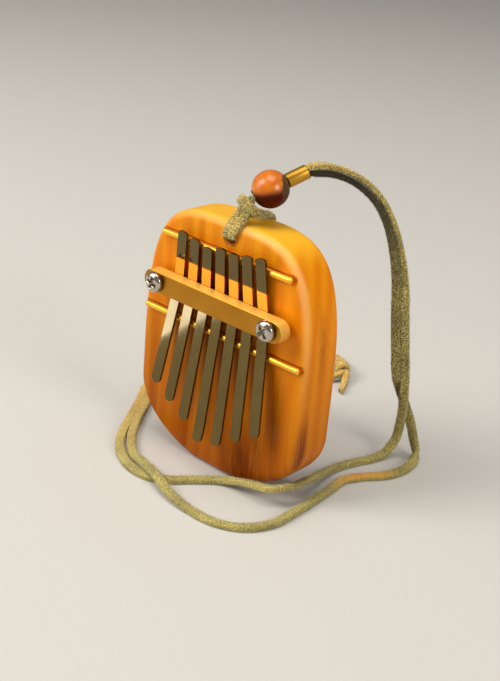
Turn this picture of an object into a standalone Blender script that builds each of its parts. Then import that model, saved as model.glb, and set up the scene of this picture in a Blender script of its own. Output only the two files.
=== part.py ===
"""Seven-tine thumb piano on a folded lace that carries a bead and a ferrule."""
import math

import bmesh
import bpy
from mathutils import Vector

# Body outline: a squared crown over a rounder belly that stands on a small flat
BODY_WIDTH = 0.0744
CROWN_HEIGHT = 0.0663
CROWN_EXPONENT = 3.86
BELLY_DEPTH = 0.0237
BELLY_EXPONENT = 2.0
FOOT_CUT = 0.0008
BODY_THICKNESS = 0.0165
FRONT_EDGE_RADIUS = 0.0030
BACK_EDGE_RADIUS = 0.0034
OUTLINE_STEPS = 36
OUTLINE_FINE_STEPS = 400
EDGE_STEPS = 5
ROUND_STEPS = 24

# Gap left between pieces that touch
CLEARANCE = 0.0003

# Bridge rods, let into the front face
ROD_DIAMETER = 0.0024
ROD_AXIS_OUT = 0.0006
UPPER_ROD_BELOW_TOP = 0.0107
UPPER_ROD_MARGIN = 0.0090
LOWER_ROD_BELOW_TOP = 0.0387
LOWER_ROD_MARGIN = 0.0026
GROOVE_RUN = 0.0013
ROD_DOME = 0.55

# Clamp bar
BAR_BELOW_TOP = 0.0266
BAR_MARGIN = 0.0067
BAR_HEIGHT = 0.0072
BAR_THICKNESS = 0.0041
BAR_ARRIS = 0.00035
BAR_ARRIS_STEPS = 2

# Clamp screws
SCREW_FROM_BAR_END = 0.0057
SCREW_SHANK = 0.0034
SCREW_BITE = 0.0070
HEAD_DIAMETER = 0.0070
HEAD_HEIGHT = 0.0022
HEAD_RIM = 0.0008
RECESS_SPAN = 0.0036
RECESS_SLOT = 0.0010
RECESS_DEPTH = 0.0013
RECESS_TAPER = 0.6
LEFT_RECESS_TURN = math.radians(20)
RIGHT_RECESS_TURN = math.radians(50)

# Tines, from left to right, fanned about the middle one
TINE_WIDTH = 0.0041
TINE_THICKNESS = 0.0010
TINE_ARRIS = 0.00015
OUTER_TINE_MARGIN_AT_UPPER_ROD = 0.01995
OUTER_TINE_MARGIN_AT_LOWER_ROD = 0.0168
TONGUE_RISE = math.radians(7.0)
TONGUE_LENGTHS = (0.0250, 0.0290, 0.0330, 0.0375, 0.0356, 0.0308, 0.0266)
TAIL_LENGTHS = (0.0033, 0.0022, 0.0010, 0.0026, 0.0025, 0.0035, 0.0044)
TIP_CURLS = (0.0, 0.0, 0.0, 0.0006, 0.0005, 0.0, 0.0)
CURL_LENGTH = 0.0070
TIP_EXPONENT = 2.0
TAIL_ROUND = 0.0010
TAIL_EXPONENT = 2.6
BEND_FROM_BAR_MIDDLE = 0.0032
BEND_HALF_RUN = 0.0010
END_STEPS = (8, 22, 38, 55, 72, 90)
STRIP_STEPS = 6

# Lace hole through the top of the body
HOLE_X = 0.0010
HOLE_BELOW_TOP = 0.0049
HOLE_DIAMETER = 0.0047
HOLE_FLARE = 0.0004

# Lace, bead and ferrule
LACE_DIAMETER = 0.0018
THREADED_DIAMETER = 0.0015
THREADED_GAP = 0.00042
FLOOR_GAP = 0.00005
LACE_STEP = 0.0052
LACE_JOIN = 0.0010
HITCH_STEP = 0.0016
BEAD_FROM_HOLE = (0.00746, 0.0, 0.01648)
THREAD_AXIS = (0.460, 0.767, 0.443)
BEAD_DIAMETER = 0.0120
BEAD_BORE_PLAY = 0.0005
BEAD_STEPS = 16
FERRULE_LENGTH = 0.0069
FERRULE_WALL = 0.00034

# Knot: a wrapped barrel that lies on the floor
KNOT_CENTRE = (-0.0170, 0.0870, 0.0034)
KNOT_HEADING = (0.700, -0.714, 0.0)
KNOT_PROFILE = ((0.0, -0.0036), (0.0019, -0.0034), (0.0029, -0.0025), (0.0032, -0.0016),
                (0.0028, -0.0007), (0.0026, -0.0002), (0.0029, 0.0006), (0.0033, 0.0015),
                (0.0029, 0.0025), (0.0019, 0.0034), (0.0, 0.0036))

# Height of the bead that the two strands' routes below are laid out for
ROUTE_BEAD_Z = 0.10078

# Lace route from the ferrule to the knot, chosen by eye: the strand that ends up nearer the body
INNER_ROUTE = (
    (0.0156, 0.0119, 0.10811), (0.01919, 0.01788, 0.10753), (0.02387, 0.02556, 0.10402),
    (0.02775, 0.03212, 0.09772), (0.03057, 0.03675, 0.08957), (0.03275, 0.04021, 0.0797),
    (0.03458, 0.04275, 0.06807), (0.03566, 0.04424, 0.0566), (0.03666, 0.04589, 0.0442),
    (0.03752, 0.04751, 0.0331), (0.0388, 0.0466, 0.0268), (0.0384, 0.0479, 0.0212),
    (0.0364, 0.0510, 0.0134), (0.0356, 0.0505, 0.0060), (0.0349, 0.0459, 0.0021),
    (0.0332, 0.0391, 0.00095), (0.0306, 0.0316, 0.00095), (0.0291, 0.0231, 0.0013),
    (0.0306, 0.0133, 0.0032), (0.0324, 0.0034, 0.0055), (0.0330, -0.0056, 0.0072),
    (0.0287, -0.0108, 0.0066), (0.0217, -0.0112, 0.0052), (0.0155, -0.0114, 0.0032),
    (0.0101, -0.0126, 0.0017), (0.0027, -0.0196, 0.00095), (-0.0021, -0.0255, 0.00095),
    (-0.0087, -0.0296, 0.00095), (-0.0156, -0.0299, 0.00095), (-0.0241, -0.0271, 0.00095),
    (-0.0321, -0.0210, 0.00095), (-0.0413, -0.0089, 0.00095), (-0.0510, 0.0057, 0.00095),
    (-0.0567, 0.0134, 0.00095), (-0.0613, 0.0236, 0.00095), (-0.0635, 0.0380, 0.00095),
    (-0.0623, 0.0542, 0.00095), (-0.0578, 0.0695, 0.00095), (-0.0511, 0.0822, 0.00095),
    (-0.0429, 0.0920, 0.00095), (-0.0333, 0.0971, 0.0012), (-0.0252, 0.0956, 0.0020))

# The strand that passes behind it and lies outside
OUTER_ROUTE = (
    (0.0156, 0.0119, 0.10599), (0.01901, 0.01742, 0.10547), (0.02333, 0.02464, 0.10218),
    (0.02695, 0.03078, 0.09628), (0.02953, 0.03505, 0.08863), (0.03135, 0.03829, 0.0791),
    (0.03262, 0.04075, 0.06793), (0.03334, 0.04226, 0.0566), (0.03434, 0.04391, 0.0442),
    (0.03528, 0.04559, 0.0331), (0.0360, 0.0488, 0.0262), (0.0377, 0.0509, 0.0204),
    (0.0396, 0.0525, 0.0145), (0.0411, 0.0541, 0.0074), (0.0430, 0.0540, 0.0024),
    (0.0448, 0.0496, 0.0010), (0.0456, 0.0425, 0.00095), (0.0440, 0.0354, 0.00095),
    (0.0391, 0.0275, 0.00095), (0.0363, 0.0210, 0.00095), (0.0370, 0.0121, 0.00095),
    (0.0377, 0.0029, 0.00095), (0.0382, -0.0080, 0.00095), (0.0377, -0.0195, 0.00095),
    (0.0338, -0.0267, 0.00095), (0.0260, -0.0317, 0.00095), (0.0162, -0.0329, 0.0011),
    (0.0061, -0.0325, 0.0022), (-0.0053, -0.0292, 0.0034), (-0.0144, -0.0262, 0.0024),
    (-0.0209, -0.0242, 0.0013), (-0.0307, -0.0169, 0.00095), (-0.0415, -0.0037, 0.00095),
    (-0.0489, 0.0077, 0.00095), (-0.05385, 0.0149, 0.00095), (-0.05815, 0.0246, 0.00095),
    (-0.0603, 0.0380, 0.00095), (-0.05915, 0.05365, 0.00095), (-0.0547, 0.0682, 0.00095),
    (-0.04845, 0.0804, 0.00095), (-0.0408, 0.0895, 0.00095), (-0.0326, 0.0940, 0.0012),
    (-0.0258, 0.0930, 0.0020))

# Lace route of the hitch: down the front, through the hole, over the top, round the strands and back.
# Along and up are counted from the hole, and depth in half thicknesses of the body
HITCH_ROUTE = (
    (0.00250, -0.582, 0.01185), (0.00130, -0.655, 0.00970), (0.00055, -0.764, 0.00775),
    (0.00022, -0.921, 0.00585), (-0.00008, -1.103, 0.00400), (-0.00060, -1.176, 0.00210),
    (-0.00110, -1.115, 0.00045), (-0.00115, -0.909, 0.0), (-0.00115, -0.667, 0.0),
    (-0.00115, 0.667, 0.0), (-0.00115, 0.909, 0.0), (-0.00115, 1.103, 0.00030),
    (-0.00115, 1.164, 0.00170), (-0.00120, 1.079, 0.00380), (-0.00120, 0.873, 0.00555),
    (-0.00120, 0.558, 0.00630), (-0.00120, 0.194, 0.00660), (-0.00100, -0.097, 0.00860),
    (-0.00050, -0.364, 0.01070), (0.00010, -0.606, 0.01220), (0.00140, -0.812, 0.01280),
    (0.00340, -0.909, 0.01280), (0.00560, -0.921, 0.01170), (0.00720, -0.800, 0.01050),
    (0.00770, -0.582, 0.00940), (0.00710, -0.267, 0.00850), (0.00560, 0.048, 0.00770),
    (0.00420, 0.412, 0.00680), (0.00300, 0.776, 0.00625), (0.00220, 1.042, 0.00440),
    (0.00150, 1.152, 0.00230), (0.00120, 1.103, 0.00040), (0.00115, 0.909, 0.0),
    (0.00115, 0.667, 0.0), (0.00115, -0.667, 0.0), (0.00115, -0.909, 0.0),
    (0.00120, -1.115, 0.00045), (0.00180, -1.176, 0.00210), (0.00248, -1.103, 0.00380),
    (0.00278, -0.921, 0.00545), (0.00305, -0.764, 0.00705), (0.00370, -0.679, 0.00890),
    (0.00450, -0.655, 0.01115))

# Lace route of the two free ends beyond the knot
SHORT_TAIL_ROUTE = ((-0.0158, 0.0808, 0.0026), (-0.0164, 0.0786, 0.0014), (-0.0170, 0.0760, 0.00095))
LONG_TAIL_ROUTE = ((-0.0119, 0.0826, 0.0022), (-0.0100, 0.0793, 0.0012), (-0.0080, 0.0756, 0.00095),
                   (-0.0071, 0.0739, 0.00095))

# Surfaces that follow from the sizes above
FRONT_Y = -BODY_THICKNESS / 2
BACK_Y = BODY_THICKNESS / 2
WIDEST_Z = BELLY_DEPTH - FOOT_CUT
TOP_Z = WIDEST_Z + CROWN_HEIGHT
UPPER_ROD_Z = TOP_Z - UPPER_ROD_BELOW_TOP
LOWER_ROD_Z = TOP_Z - LOWER_ROD_BELOW_TOP
UPPER_ROD_LENGTH = BODY_WIDTH - 2 * UPPER_ROD_MARGIN
LOWER_ROD_LENGTH = BODY_WIDTH - 2 * LOWER_ROD_MARGIN
BAR_Z = TOP_Z - BAR_BELOW_TOP
BAR_LENGTH = BODY_WIDTH - 2 * BAR_MARGIN
SCREW_X = BAR_LENGTH / 2 - SCREW_FROM_BAR_END
HOLE = Vector((HOLE_X, 0, TOP_Z - HOLE_BELOW_TOP))
BEAD_CENTRE = HOLE + Vector(BEAD_FROM_HOLE)
ROD_Y = FRONT_Y - ROD_AXIS_OUT
MIDDLE_TINE = len(TONGUE_LENGTHS) // 2
PITCH_AT_UPPER_ROD = (BODY_WIDTH / 2 - OUTER_TINE_MARGIN_AT_UPPER_ROD) / MIDDLE_TINE
PITCH_AT_LOWER_ROD = (BODY_WIDTH / 2 - OUTER_TINE_MARGIN_AT_LOWER_ROD) / MIDDLE_TINE
LOWER_SPAN = BAR_Z - LOWER_ROD_Z
CLAMPED_SPAN = UPPER_ROD_Z - LOWER_ROD_Z
STRIP_DIP = math.tan(TONGUE_RISE) * (LOWER_SPAN - BEND_FROM_BAR_MIDDLE)
HINGE_OUT = ROD_AXIS_OUT + ROD_DIAMETER / 2 + CLEARANCE + TINE_THICKNESS / 2
BORE_RADIUS = SCREW_SHANK / 2 + CLEARANCE
ALONG_X = (0, math.pi / 2, 0)
OUT_OF_FACE = (math.pi / 2, 0, 0)


def linear(code):
    """Turn a screen colour such as b06a35 into linear red, green and blue."""
    values = [int(code[i:i + 2], 16) / 255 for i in (0, 2, 4)]
    return [v / 12.92 if v <= 0.04045 else ((v + 0.055) / 1.055) ** 2.4 for v in values]


def material(name, code, roughness, metallic):
    made = bpy.data.materials.new(name)
    made.use_nodes = True
    shader = made.node_tree.nodes["Principled BSDF"]
    shader.inputs["Base Color"].default_value = (*linear(code), 1.0)
    shader.inputs["Roughness"].default_value = roughness
    shader.inputs["Metallic"].default_value = metallic
    return made


def place(name, data, surface, location=(0, 0, 0), turn=(0, 0, 0)):
    made = bpy.data.objects.new(name, data)
    bpy.context.scene.collection.objects.link(made)
    made.location = location
    made.rotation_euler = turn
    data.materials.append(surface)
    return made


def mesh_from(bm, name, sharp=35):
    bmesh.ops.recalc_face_normals(bm, faces=bm.faces)
    data = bpy.data.meshes.new(name)
    bm.to_mesh(data)
    bm.free()
    data.shade_smooth()
    data.set_sharp_from_angle(angle=math.radians(sharp))
    return data


def prism(outline, low, high, high_scale=1.0):
    """Extrude an (x, z) outline along Y between two levels."""
    bm = bmesh.new()
    near = [bm.verts.new((x, low, z)) for x, z in outline]
    far = [bm.verts.new((x * high_scale, high, z * high_scale)) for x, z in outline]
    bm.faces.new(near)
    bm.faces.new(reversed(far))
    count = len(outline)
    for i in range(count):
        j = (i + 1) % count
        bm.faces.new((near[i], far[i], far[j], near[j]))
    bm.normal_update()
    return bm


def round_rim(bm, level, radius, steps):
    """Round the edges of the flat face that lies at one Y level."""
    rim = [e for e in bm.edges if all(abs(v.co.y - level) < 1e-7 for v in e.verts)]
    bmesh.ops.bevel(bm, geom=rim, offset=radius, offset_type="OFFSET", segments=steps,
                    profile=0.5, affect="EDGES", clamp_overlap=False)


def lathe(name, profile, closed=False):
    """Spin a (radius, height) profile about Z into one closed body."""
    bm = bmesh.new()
    ring = [bm.verts.new((r, 0, h)) for r, h in profile]
    edges = [bm.edges.new(pair) for pair in zip(ring, ring[1:])]
    if closed:
        edges.append(bm.edges.new((ring[-1], ring[0])))
    bmesh.ops.spin(bm, geom=ring + edges, axis=(0, 0, 1), cent=(0, 0, 0), angle=2 * math.pi,
                   steps=ROUND_STEPS, use_merge=True)
    bmesh.ops.remove_doubles(bm, verts=bm.verts, dist=1e-7)
    bmesh.ops.dissolve_degenerate(bm, edges=bm.edges, dist=1e-7)
    return mesh_from(bm, name)


def plug_profile(radius, low, high):
    """Half outline of a plain round plug, for cutters."""
    return (0, low), (radius, low), (radius, high), (0, high)


def cut(target, data, location, turn):
    """Take a hidden cutter's shape out of a piece."""
    cutter = bpy.data.objects.new(data.name + "_cutter", data)
    bpy.context.scene.collection.objects.link(cutter)
    cutter.location = location
    cutter.rotation_euler = turn
    cutter.hide_render = True
    cutter.display_type = "WIRE"
    step = target.modifiers.new(data.name, "BOOLEAN")
    step.operation = "DIFFERENCE"
    step.solver = "EXACT"
    step.object = cutter


def even_steps(points, count):
    """Points at equal distances along a dense chain of points."""
    runs = [0.0]
    for a, b in zip(points, points[1:]):
        runs.append(runs[-1] + math.dist(a, b))
    picked = []
    k = 0
    for i in range(count + 1):
        want = runs[-1] * i / count
        while k < len(points) - 2 and runs[k + 1] < want:
            k += 1
        share = (want - runs[k]) / (runs[k + 1] - runs[k])
        picked.append(tuple(a + (b - a) * share for a, b in zip(points[k], points[k + 1])))
    return picked


def body_outline():
    """Front outline of the body, clockwise from the middle of the top."""
    half = BODY_WIDTH / 2
    fine = OUTLINE_FINE_STEPS
    side = [(0.0, TOP_Z)]
    for i in range(1, fine + 1):
        angle = math.pi / 2 * (1 - i / fine)
        x = half * math.cos(angle) ** (2 / CROWN_EXPONENT)
        side.append((x, WIDEST_Z + CROWN_HEIGHT * math.sin(angle) ** (2 / CROWN_EXPONENT)))
    foot_angle = math.asin((WIDEST_Z / BELLY_DEPTH) ** (BELLY_EXPONENT / 2))
    for i in range(1, fine + 1):
        angle = foot_angle * i / fine
        x = half * math.cos(angle) ** (2 / BELLY_EXPONENT)
        side.append((x, WIDEST_Z - BELLY_DEPTH * math.sin(angle) ** (2 / BELLY_EXPONENT)))
    side[-1] = (side[-1][0], 0.0)
    right = even_steps(side, OUTLINE_STEPS)
    return right + [(-x, z) for x, z in reversed(right[1:])]


def make_body(surface):
    """Wooden board with a lace hole; the other cuts are made with the pieces that need them."""
    shape = prism(body_outline(), FRONT_Y, BACK_Y)
    round_rim(shape, FRONT_Y, FRONT_EDGE_RADIUS, EDGE_STEPS)
    round_rim(shape, BACK_Y, BACK_EDGE_RADIUS, EDGE_STEPS)
    body = place("body", mesh_from(shape, "body"), surface)
    narrow = HOLE_DIAMETER / 2
    wide = narrow + 2 * HOLE_FLARE
    mouth = BODY_THICKNESS / 2 + HOLE_FLARE
    throat = BODY_THICKNESS / 2 - HOLE_FLARE
    profile = ((0, -mouth), (wide, -mouth), (narrow, -throat), (narrow, throat), (wide, mouth), (0, mouth))
    cut(body, lathe("lace_hole", profile), HOLE, OUT_OF_FACE)
    return body


def rod_profile(length, radius):
    """Half outline of a round bar with domed ends."""
    depth = radius * ROD_DOME
    angles = [math.radians(a) for a in (0, 25, 50, 75, 90)]
    top = [(radius * math.sin(a), length / 2 - depth + depth * math.cos(a)) for a in angles]
    return top + [(r, -h) for r, h in reversed(top)]


def make_rod(name, level, length, body, surface):
    """Bridge rod with its groove in the face."""
    spot = (0, ROD_Y, level)
    groove = rod_profile(length + 2 * GROOVE_RUN, ROD_DIAMETER / 2 + CLEARANCE)
    cut(body, lathe(name + "_groove", groove), spot, ALONG_X)
    place(name, lathe(name, rod_profile(length, ROD_DIAMETER / 2)), surface, spot, ALONG_X)


def strip_curve(run, lower, upper):
    """Height and slope of a clamped strip, level under the bar and straight from there over the rods."""
    side = -1 if run <= lower else 1
    straight = (lower if side < 0 else upper - lower) - BEND_FROM_BAR_MIDDLE
    slope = STRIP_DIP / straight
    past = abs(run - lower) - BEND_FROM_BAR_MIDDLE
    if past >= BEND_HALF_RUN:
        return slope * past - STRIP_DIP, side * slope
    bent = max(0.0, past + BEND_HALF_RUN)
    return slope * bent * bent / (4 * BEND_HALF_RUN) - STRIP_DIP, side * slope * bent / (2 * BEND_HALF_RUN)


def bar_levels():
    """Back and front of the clamp bar, clear of the strips that bend up beside its middle."""
    sides = (LOWER_SPAN - BAR_HEIGHT / 2, LOWER_SPAN + BAR_HEIGHT / 2)
    highest = max(strip_curve(run, LOWER_SPAN, CLAMPED_SPAN)[0] for run in sides)
    back = FRONT_Y - HINGE_OUT - highest - TINE_THICKNESS / 2 - CLEARANCE
    return back, back - BAR_THICKNESS


def make_bar(surface):
    """Straight bar with half-round ends, seen from the front."""
    back, front = bar_levels()
    nose = (BAR_LENGTH - BAR_HEIGHT) / 2
    arc = [math.radians(a) for a in range(90, -91, -15)]
    outline = [(nose + BAR_HEIGHT / 2 * math.cos(a), BAR_Z + BAR_HEIGHT / 2 * math.sin(a)) for a in arc]
    outline += [(-x, z) for x, z in reversed(outline)]
    shape = prism(outline, front, back)
    round_rim(shape, front, BAR_ARRIS, BAR_ARRIS_STEPS)
    round_rim(shape, back, BAR_ARRIS, BAR_ARRIS_STEPS)
    return place("clamp_bar", mesh_from(shape, "clamp_bar"), surface)


def cross_outline():
    """Plus-shaped outline of a cross recess."""
    tip = RECESS_SPAN / 2
    slot = RECESS_SLOT / 2
    quarter = ((slot, tip), (slot, slot), (tip, slot))
    outline = []
    for turn in range(4):
        outline += quarter
        quarter = [(z, -x) for x, z in quarter]
    return outline


def make_screw(name, x, recess_turn, body, bar, surface):
    """Pan-head screw through the bar into the wood, with its holes in both."""
    back, front = bar_levels()
    seat = front - CLEARANCE
    length = FRONT_Y + SCREW_BITE - seat
    drill = lathe(name + "_drill", plug_profile(BORE_RADIUS, -length - CLEARANCE, CLEARANCE))
    cut(bar, drill, (x, seat, BAR_Z), OUT_OF_FACE)
    cut(body, drill, (x, seat, BAR_Z), OUT_OF_FACE)
    shank = SCREW_SHANK / 2
    profile = [(0, -length), (shank / 2, -length), (shank, shank - length), (shank, 0)]
    for degrees in (0, 15, 30, 45, 60, 75, 90):
        angle = math.radians(degrees)
        dome = HEAD_RIM + (HEAD_HEIGHT - HEAD_RIM) * math.sin(angle)
        profile.append((HEAD_DIAMETER / 2 * math.cos(angle), dome))
    profile.insert(4, (HEAD_DIAMETER / 2, 0))
    screw = place(name, lathe(name, profile), surface, (x, seat, BAR_Z), OUT_OF_FACE)
    recess = prism(cross_outline(), -CLEARANCE, RECESS_DEPTH, RECESS_TAPER)
    cut(screw, mesh_from(recess, name + "_recess"), (x, seat - HEAD_HEIGHT, BAR_Z), (0, recess_turn, 0))


def end_stations(end, inward, depth, exponent):
    """Runs and half widths that round the end of a strip, from the end inwards."""
    stations = []
    for degrees in END_STEPS:
        angle = math.radians(degrees)
        back = depth * (1 - abs(math.cos(angle)) ** (2 / exponent))
        stations.append((end + inward * back, TINE_WIDTH / 2 * math.sin(angle) ** (2 / exponent)))
    return stations


def strip_mesh(name, stations, curve):
    """Loft a flat strip with eased edges through (run, half width) stations."""
    bm = bmesh.new()
    rings = []
    thick = TINE_THICKNESS / 2
    for run, half in stations:
        height, slope = curve(run)
        out = Vector((0, -1, -slope)).normalized()
        ease = min(TINE_ARRIS, half / 2)
        right = ((half - ease, thick), (half, thick - ease), (half, ease - thick), (half - ease, -thick))
        section = right + tuple((-x, d) for x, d in reversed(right))
        middle = Vector((0, -height, run))
        rings.append([bm.verts.new(middle + Vector((x, 0, 0)) + out * d) for x, d in section])
    for a, b in zip(rings, rings[1:]):
        for i in range(len(a)):
            j = (i + 1) % len(a)
            bm.faces.new((a[i], a[j], b[j], b[i]))
    bm.faces.new(rings[0])
    bm.faces.new(reversed(rings[-1]))
    return mesh_from(bm, name, 40)


def make_tine(index, surface):
    """Clamped root and free tongue of one tine, which meet over the lower rod."""
    step = index - MIDDLE_TINE
    fan = math.atan2(step * (PITCH_AT_UPPER_ROD - PITCH_AT_LOWER_ROD), CLAMPED_SPAN)
    hinge = (step * PITCH_AT_LOWER_ROD, FRONT_Y - HINGE_OUT, LOWER_ROD_Z)
    lower = LOWER_SPAN / math.cos(fan)
    upper = CLAMPED_SPAN / math.cos(fan)
    half = TINE_WIDTH / 2
    start = CLEARANCE / 2

    stations = [(start + (lower - start) * k / STRIP_STEPS, half) for k in range(STRIP_STEPS)]
    stations += [(lower + (upper - lower) * k / STRIP_STEPS, half) for k in range(STRIP_STEPS)]
    tail = end_stations(upper + TAIL_LENGTHS[index], -1, TAIL_ROUND, TAIL_EXPONENT)
    stations += reversed(tail)
    name = "tine_%d_root" % (index + 1)
    root = strip_mesh(name, stations, lambda run: strip_curve(run, lower, upper))
    place(name, root, surface, hinge, (0, fan, 0))

    tip = TONGUE_LENGTHS[index]
    curl = TIP_CURLS[index]

    def tongue_curve(run):
        past = max(0.0, CURL_LENGTH - tip - run) / CURL_LENGTH
        return curl * past * past, -2 * curl * past / CURL_LENGTH

    stations = end_stations(-tip, 1, half, TIP_EXPONENT)
    stations += [((CURL_LENGTH + half) / 2 - tip, half), (CURL_LENGTH - tip, half), (-start, half)]
    name = "tine_%d_tongue" % (index + 1)
    place(name, strip_mesh(name, stations, tongue_curve), surface, hinge, (-TONGUE_RISE, fan, 0))


def smooth_route(points, step):
    """Points along a smooth curve through (x, y, z, radius) route points, kept off the floor."""
    chain = [Vector(p) for p in points]
    gaps = [(b - a).to_3d().length for a, b in zip(chain, chain[1:])]
    slopes = [(b - a) / g for a, b, g in zip(chain, chain[1:], gaps)]
    tangents = [slopes[0]]
    for before, after, g, h in zip(slopes, slopes[1:], gaps, gaps[1:]):
        tangents.append((before * h + after * g) / (g + h))
    tangents.append(slopes[-1])
    samples = [chain[0]]
    for i, gap in enumerate(gaps):
        parts = max(1, round(gap / step))
        for k in range(1, parts + 1):
            t = k / parts
            along = chain[i] * (2 * t ** 3 - 3 * t * t + 1) + chain[i + 1] * (3 * t * t - 2 * t ** 3)
            lean = tangents[i] * (t ** 3 - 2 * t * t + t) + tangents[i + 1] * (t ** 3 - t * t)
            samples.append(along + lean * gap)
    for s in samples:
        s.z = max(s.z, s.w + FLOOR_GAP)
    return samples


def make_lace(name, points, surface, step=LACE_STEP):
    """A round tube along a smooth route, with filled ends."""
    data = bpy.data.curves.new(name, "CURVE")
    data.dimensions = "3D"
    data.bevel_depth = LACE_DIAMETER / 2
    data.bevel_resolution = 2
    data.use_fill_caps = True
    samples = smooth_route(points, step)
    line = data.splines.new("POLY")
    line.points.add(len(samples) - 1)
    for spot, s in zip(line.points, samples):
        spot.co = (s.x, s.y, s.z, 1)
        spot.radius = s.w / data.bevel_depth
    line.use_smooth = True
    place(name, data, surface)
    length = sum((b - a).to_3d().length for a, b in zip(samples, samples[1:]))
    print(name, "length mm", round(length * 1000, 1))
    return samples


def full(points):
    """Route points at the lace's own radius."""
    return [(*p, LACE_DIAMETER / 2) for p in points]


# Sizes of the pair of strands where it runs through the bead and the ferrule
PAIR_HALF = (THREADED_DIAMETER + THREADED_GAP) / 2
PAIR_REACH = PAIR_HALF + THREADED_DIAMETER / 2
BEAD_BORE = PAIR_REACH + BEAD_BORE_PLAY
BEAD_MOUTH = math.sqrt((BEAD_DIAMETER / 2) ** 2 - BEAD_BORE ** 2)
FERRULE_START = BEAD_MOUTH + CLEARANCE
FERRULE_END = FERRULE_START + FERRULE_LENGTH
THREAD = Vector(THREAD_AXIS).normalized()
THREAD_TURN = THREAD.to_track_quat("Z", "Y").to_euler()
LEVEL = THREAD.cross(Vector((0, 0, 1))).normalized()
ABOVE = LEVEL.cross(THREAD)
KNOT_AXIS = Vector(KNOT_HEADING).normalized()
KNOT_SIDE = KNOT_AXIS.cross(Vector((0, 0, 1))) * (LACE_DIAMETER / 2 + CLEARANCE)


def make_bead(surface):
    """Turned ball with a bore."""
    radius = BEAD_DIAMETER / 2
    first = math.asin(BEAD_BORE / radius)
    angles = [first + (math.pi - 2 * first) * k / BEAD_STEPS for k in range(BEAD_STEPS + 1)]
    profile = [(radius * math.sin(a), radius * math.cos(a)) for a in angles]
    place("bead", lathe("bead", profile, True), surface, BEAD_CENTRE, THREAD_TURN)


def make_ferrule(surface):
    """Short tube on the bead's axis."""
    inside = PAIR_REACH + CLEARANCE
    outside = inside + FERRULE_WALL
    profile = [(r, h) for r in (outside, inside) for h in (FERRULE_START, FERRULE_END)]
    profile[2:] = reversed(profile[2:])
    place("ferrule", lathe("ferrule", profile, True), surface, BEAD_CENTRE, THREAD_TURN)


def threaded(run, side, turn):
    """Centre and radius of one strand on the bead's axis, with the pair turned about it."""
    offset = LEVEL * math.cos(turn) - ABOVE * math.sin(turn)
    return (*(BEAD_CENTRE + THREAD * run + offset * side * PAIR_HALF), THREADED_DIAMETER / 2)


def make_strand(name, side, route, surface):
    """One half of the lace: a quarter turn inside the bead, through the ferrule and on to the knot."""
    quarter = math.pi / 2
    points = [threaded(BEAD_MOUTH * (k - 2) / 2, side, quarter * k / 4) for k in range(5)]
    runs = ((FERRULE_START + FERRULE_END) / 2, FERRULE_END, FERRULE_END + LACE_JOIN)
    points += [threaded(run, side, quarter) for run in runs]
    end = Vector(KNOT_CENTRE) + KNOT_AXIS * (KNOT_PROFILE[0][1] - LACE_JOIN) + KNOT_SIDE * side
    lift = BEAD_CENTRE.z / ROUTE_BEAD_Z
    points += full((x, y, z * lift) for x, y, z in route)
    make_lace(name, points + full([end]), surface)


def make_hitch(surface):
    """Folded end of the lace, with a look at how close it comes to itself."""
    ends = [threaded(-BEAD_MOUTH - LACE_JOIN, side, 0) for side in (-1, 1)]
    loop = full(HOLE + Vector((x, y * BODY_THICKNESS / 2, z)) for x, y, z in HITCH_ROUTE)
    route = make_lace("cord_hitch", [ends[0]] + loop + [ends[1]], surface, HITCH_STEP)
    pairs = ((a, b) for i, a in enumerate(route) for b in route[i + 4:])
    nearest = min((a - b).to_3d().length - a.w - b.w for a, b in pairs)
    print("hitch least self gap mm", round(nearest * 1000, 2))


def make_knot(surface):
    """Wrapped barrel with the two free ends beyond it."""
    aim = KNOT_AXIS.to_track_quat("Z", "Y").to_euler()
    place("cord_knot", lathe("cord_knot", KNOT_PROFILE), surface, KNOT_CENTRE, aim)
    leave = Vector(KNOT_CENTRE) + KNOT_AXIS * (KNOT_PROFILE[-1][1] + LACE_JOIN)
    make_lace("short_tail", full([leave + KNOT_SIDE] + list(SHORT_TAIL_ROUTE)), surface)
    make_lace("long_tail", full([leave - KNOT_SIDE] + list(LONG_TAIL_ROUTE)), surface)


for old in list(bpy.data.objects):
    bpy.data.objects.remove(old, do_unlink=True)

WOOD = material("oiled_wood", "b4702f", 0.35, 0.0)
BRASS = material("brass", "c9a24a", 0.28, 1.0)
STEEL = material("ground_steel", "a9a596", 0.30, 1.0)
NICKEL = material("nickel_plate", "c2beb4", 0.20, 1.0)
SUEDE = material("suede_lace", "83795a", 0.95, 0.0)
BEAD_WOOD = material("polished_bead_wood", "8c3f1c", 0.15, 0.0)

wooden_body = make_body(WOOD)
make_rod("upper_bridge_rod", UPPER_ROD_Z, UPPER_ROD_LENGTH, wooden_body, BRASS)
make_rod("lower_bridge_rod", LOWER_ROD_Z, LOWER_ROD_LENGTH, wooden_body, BRASS)
brass_bar = make_bar(BRASS)
make_screw("left_clamp_screw", -SCREW_X, LEFT_RECESS_TURN, wooden_body, brass_bar, NICKEL)
make_screw("right_clamp_screw", SCREW_X, RIGHT_RECESS_TURN, wooden_body, brass_bar, NICKEL)
for tine in range(len(TONGUE_LENGTHS)):
    make_tine(tine, STEEL)
make_bead(BEAD_WOOD)
make_ferrule(BRASS)
make_hitch(SUEDE)
make_strand("inner_strand", -1, INNER_ROUTE, SUEDE)
make_strand("outer_strand", 1, OUTER_ROUTE, SUEDE)
make_knot(SUEDE)
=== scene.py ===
"""Looks of a seven-tine pocket thumb piano on a folded suede lace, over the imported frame."""
from functools import partial
import math

import bmesh
import bpy
from mathutils import Matrix, Vector, noise


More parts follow.
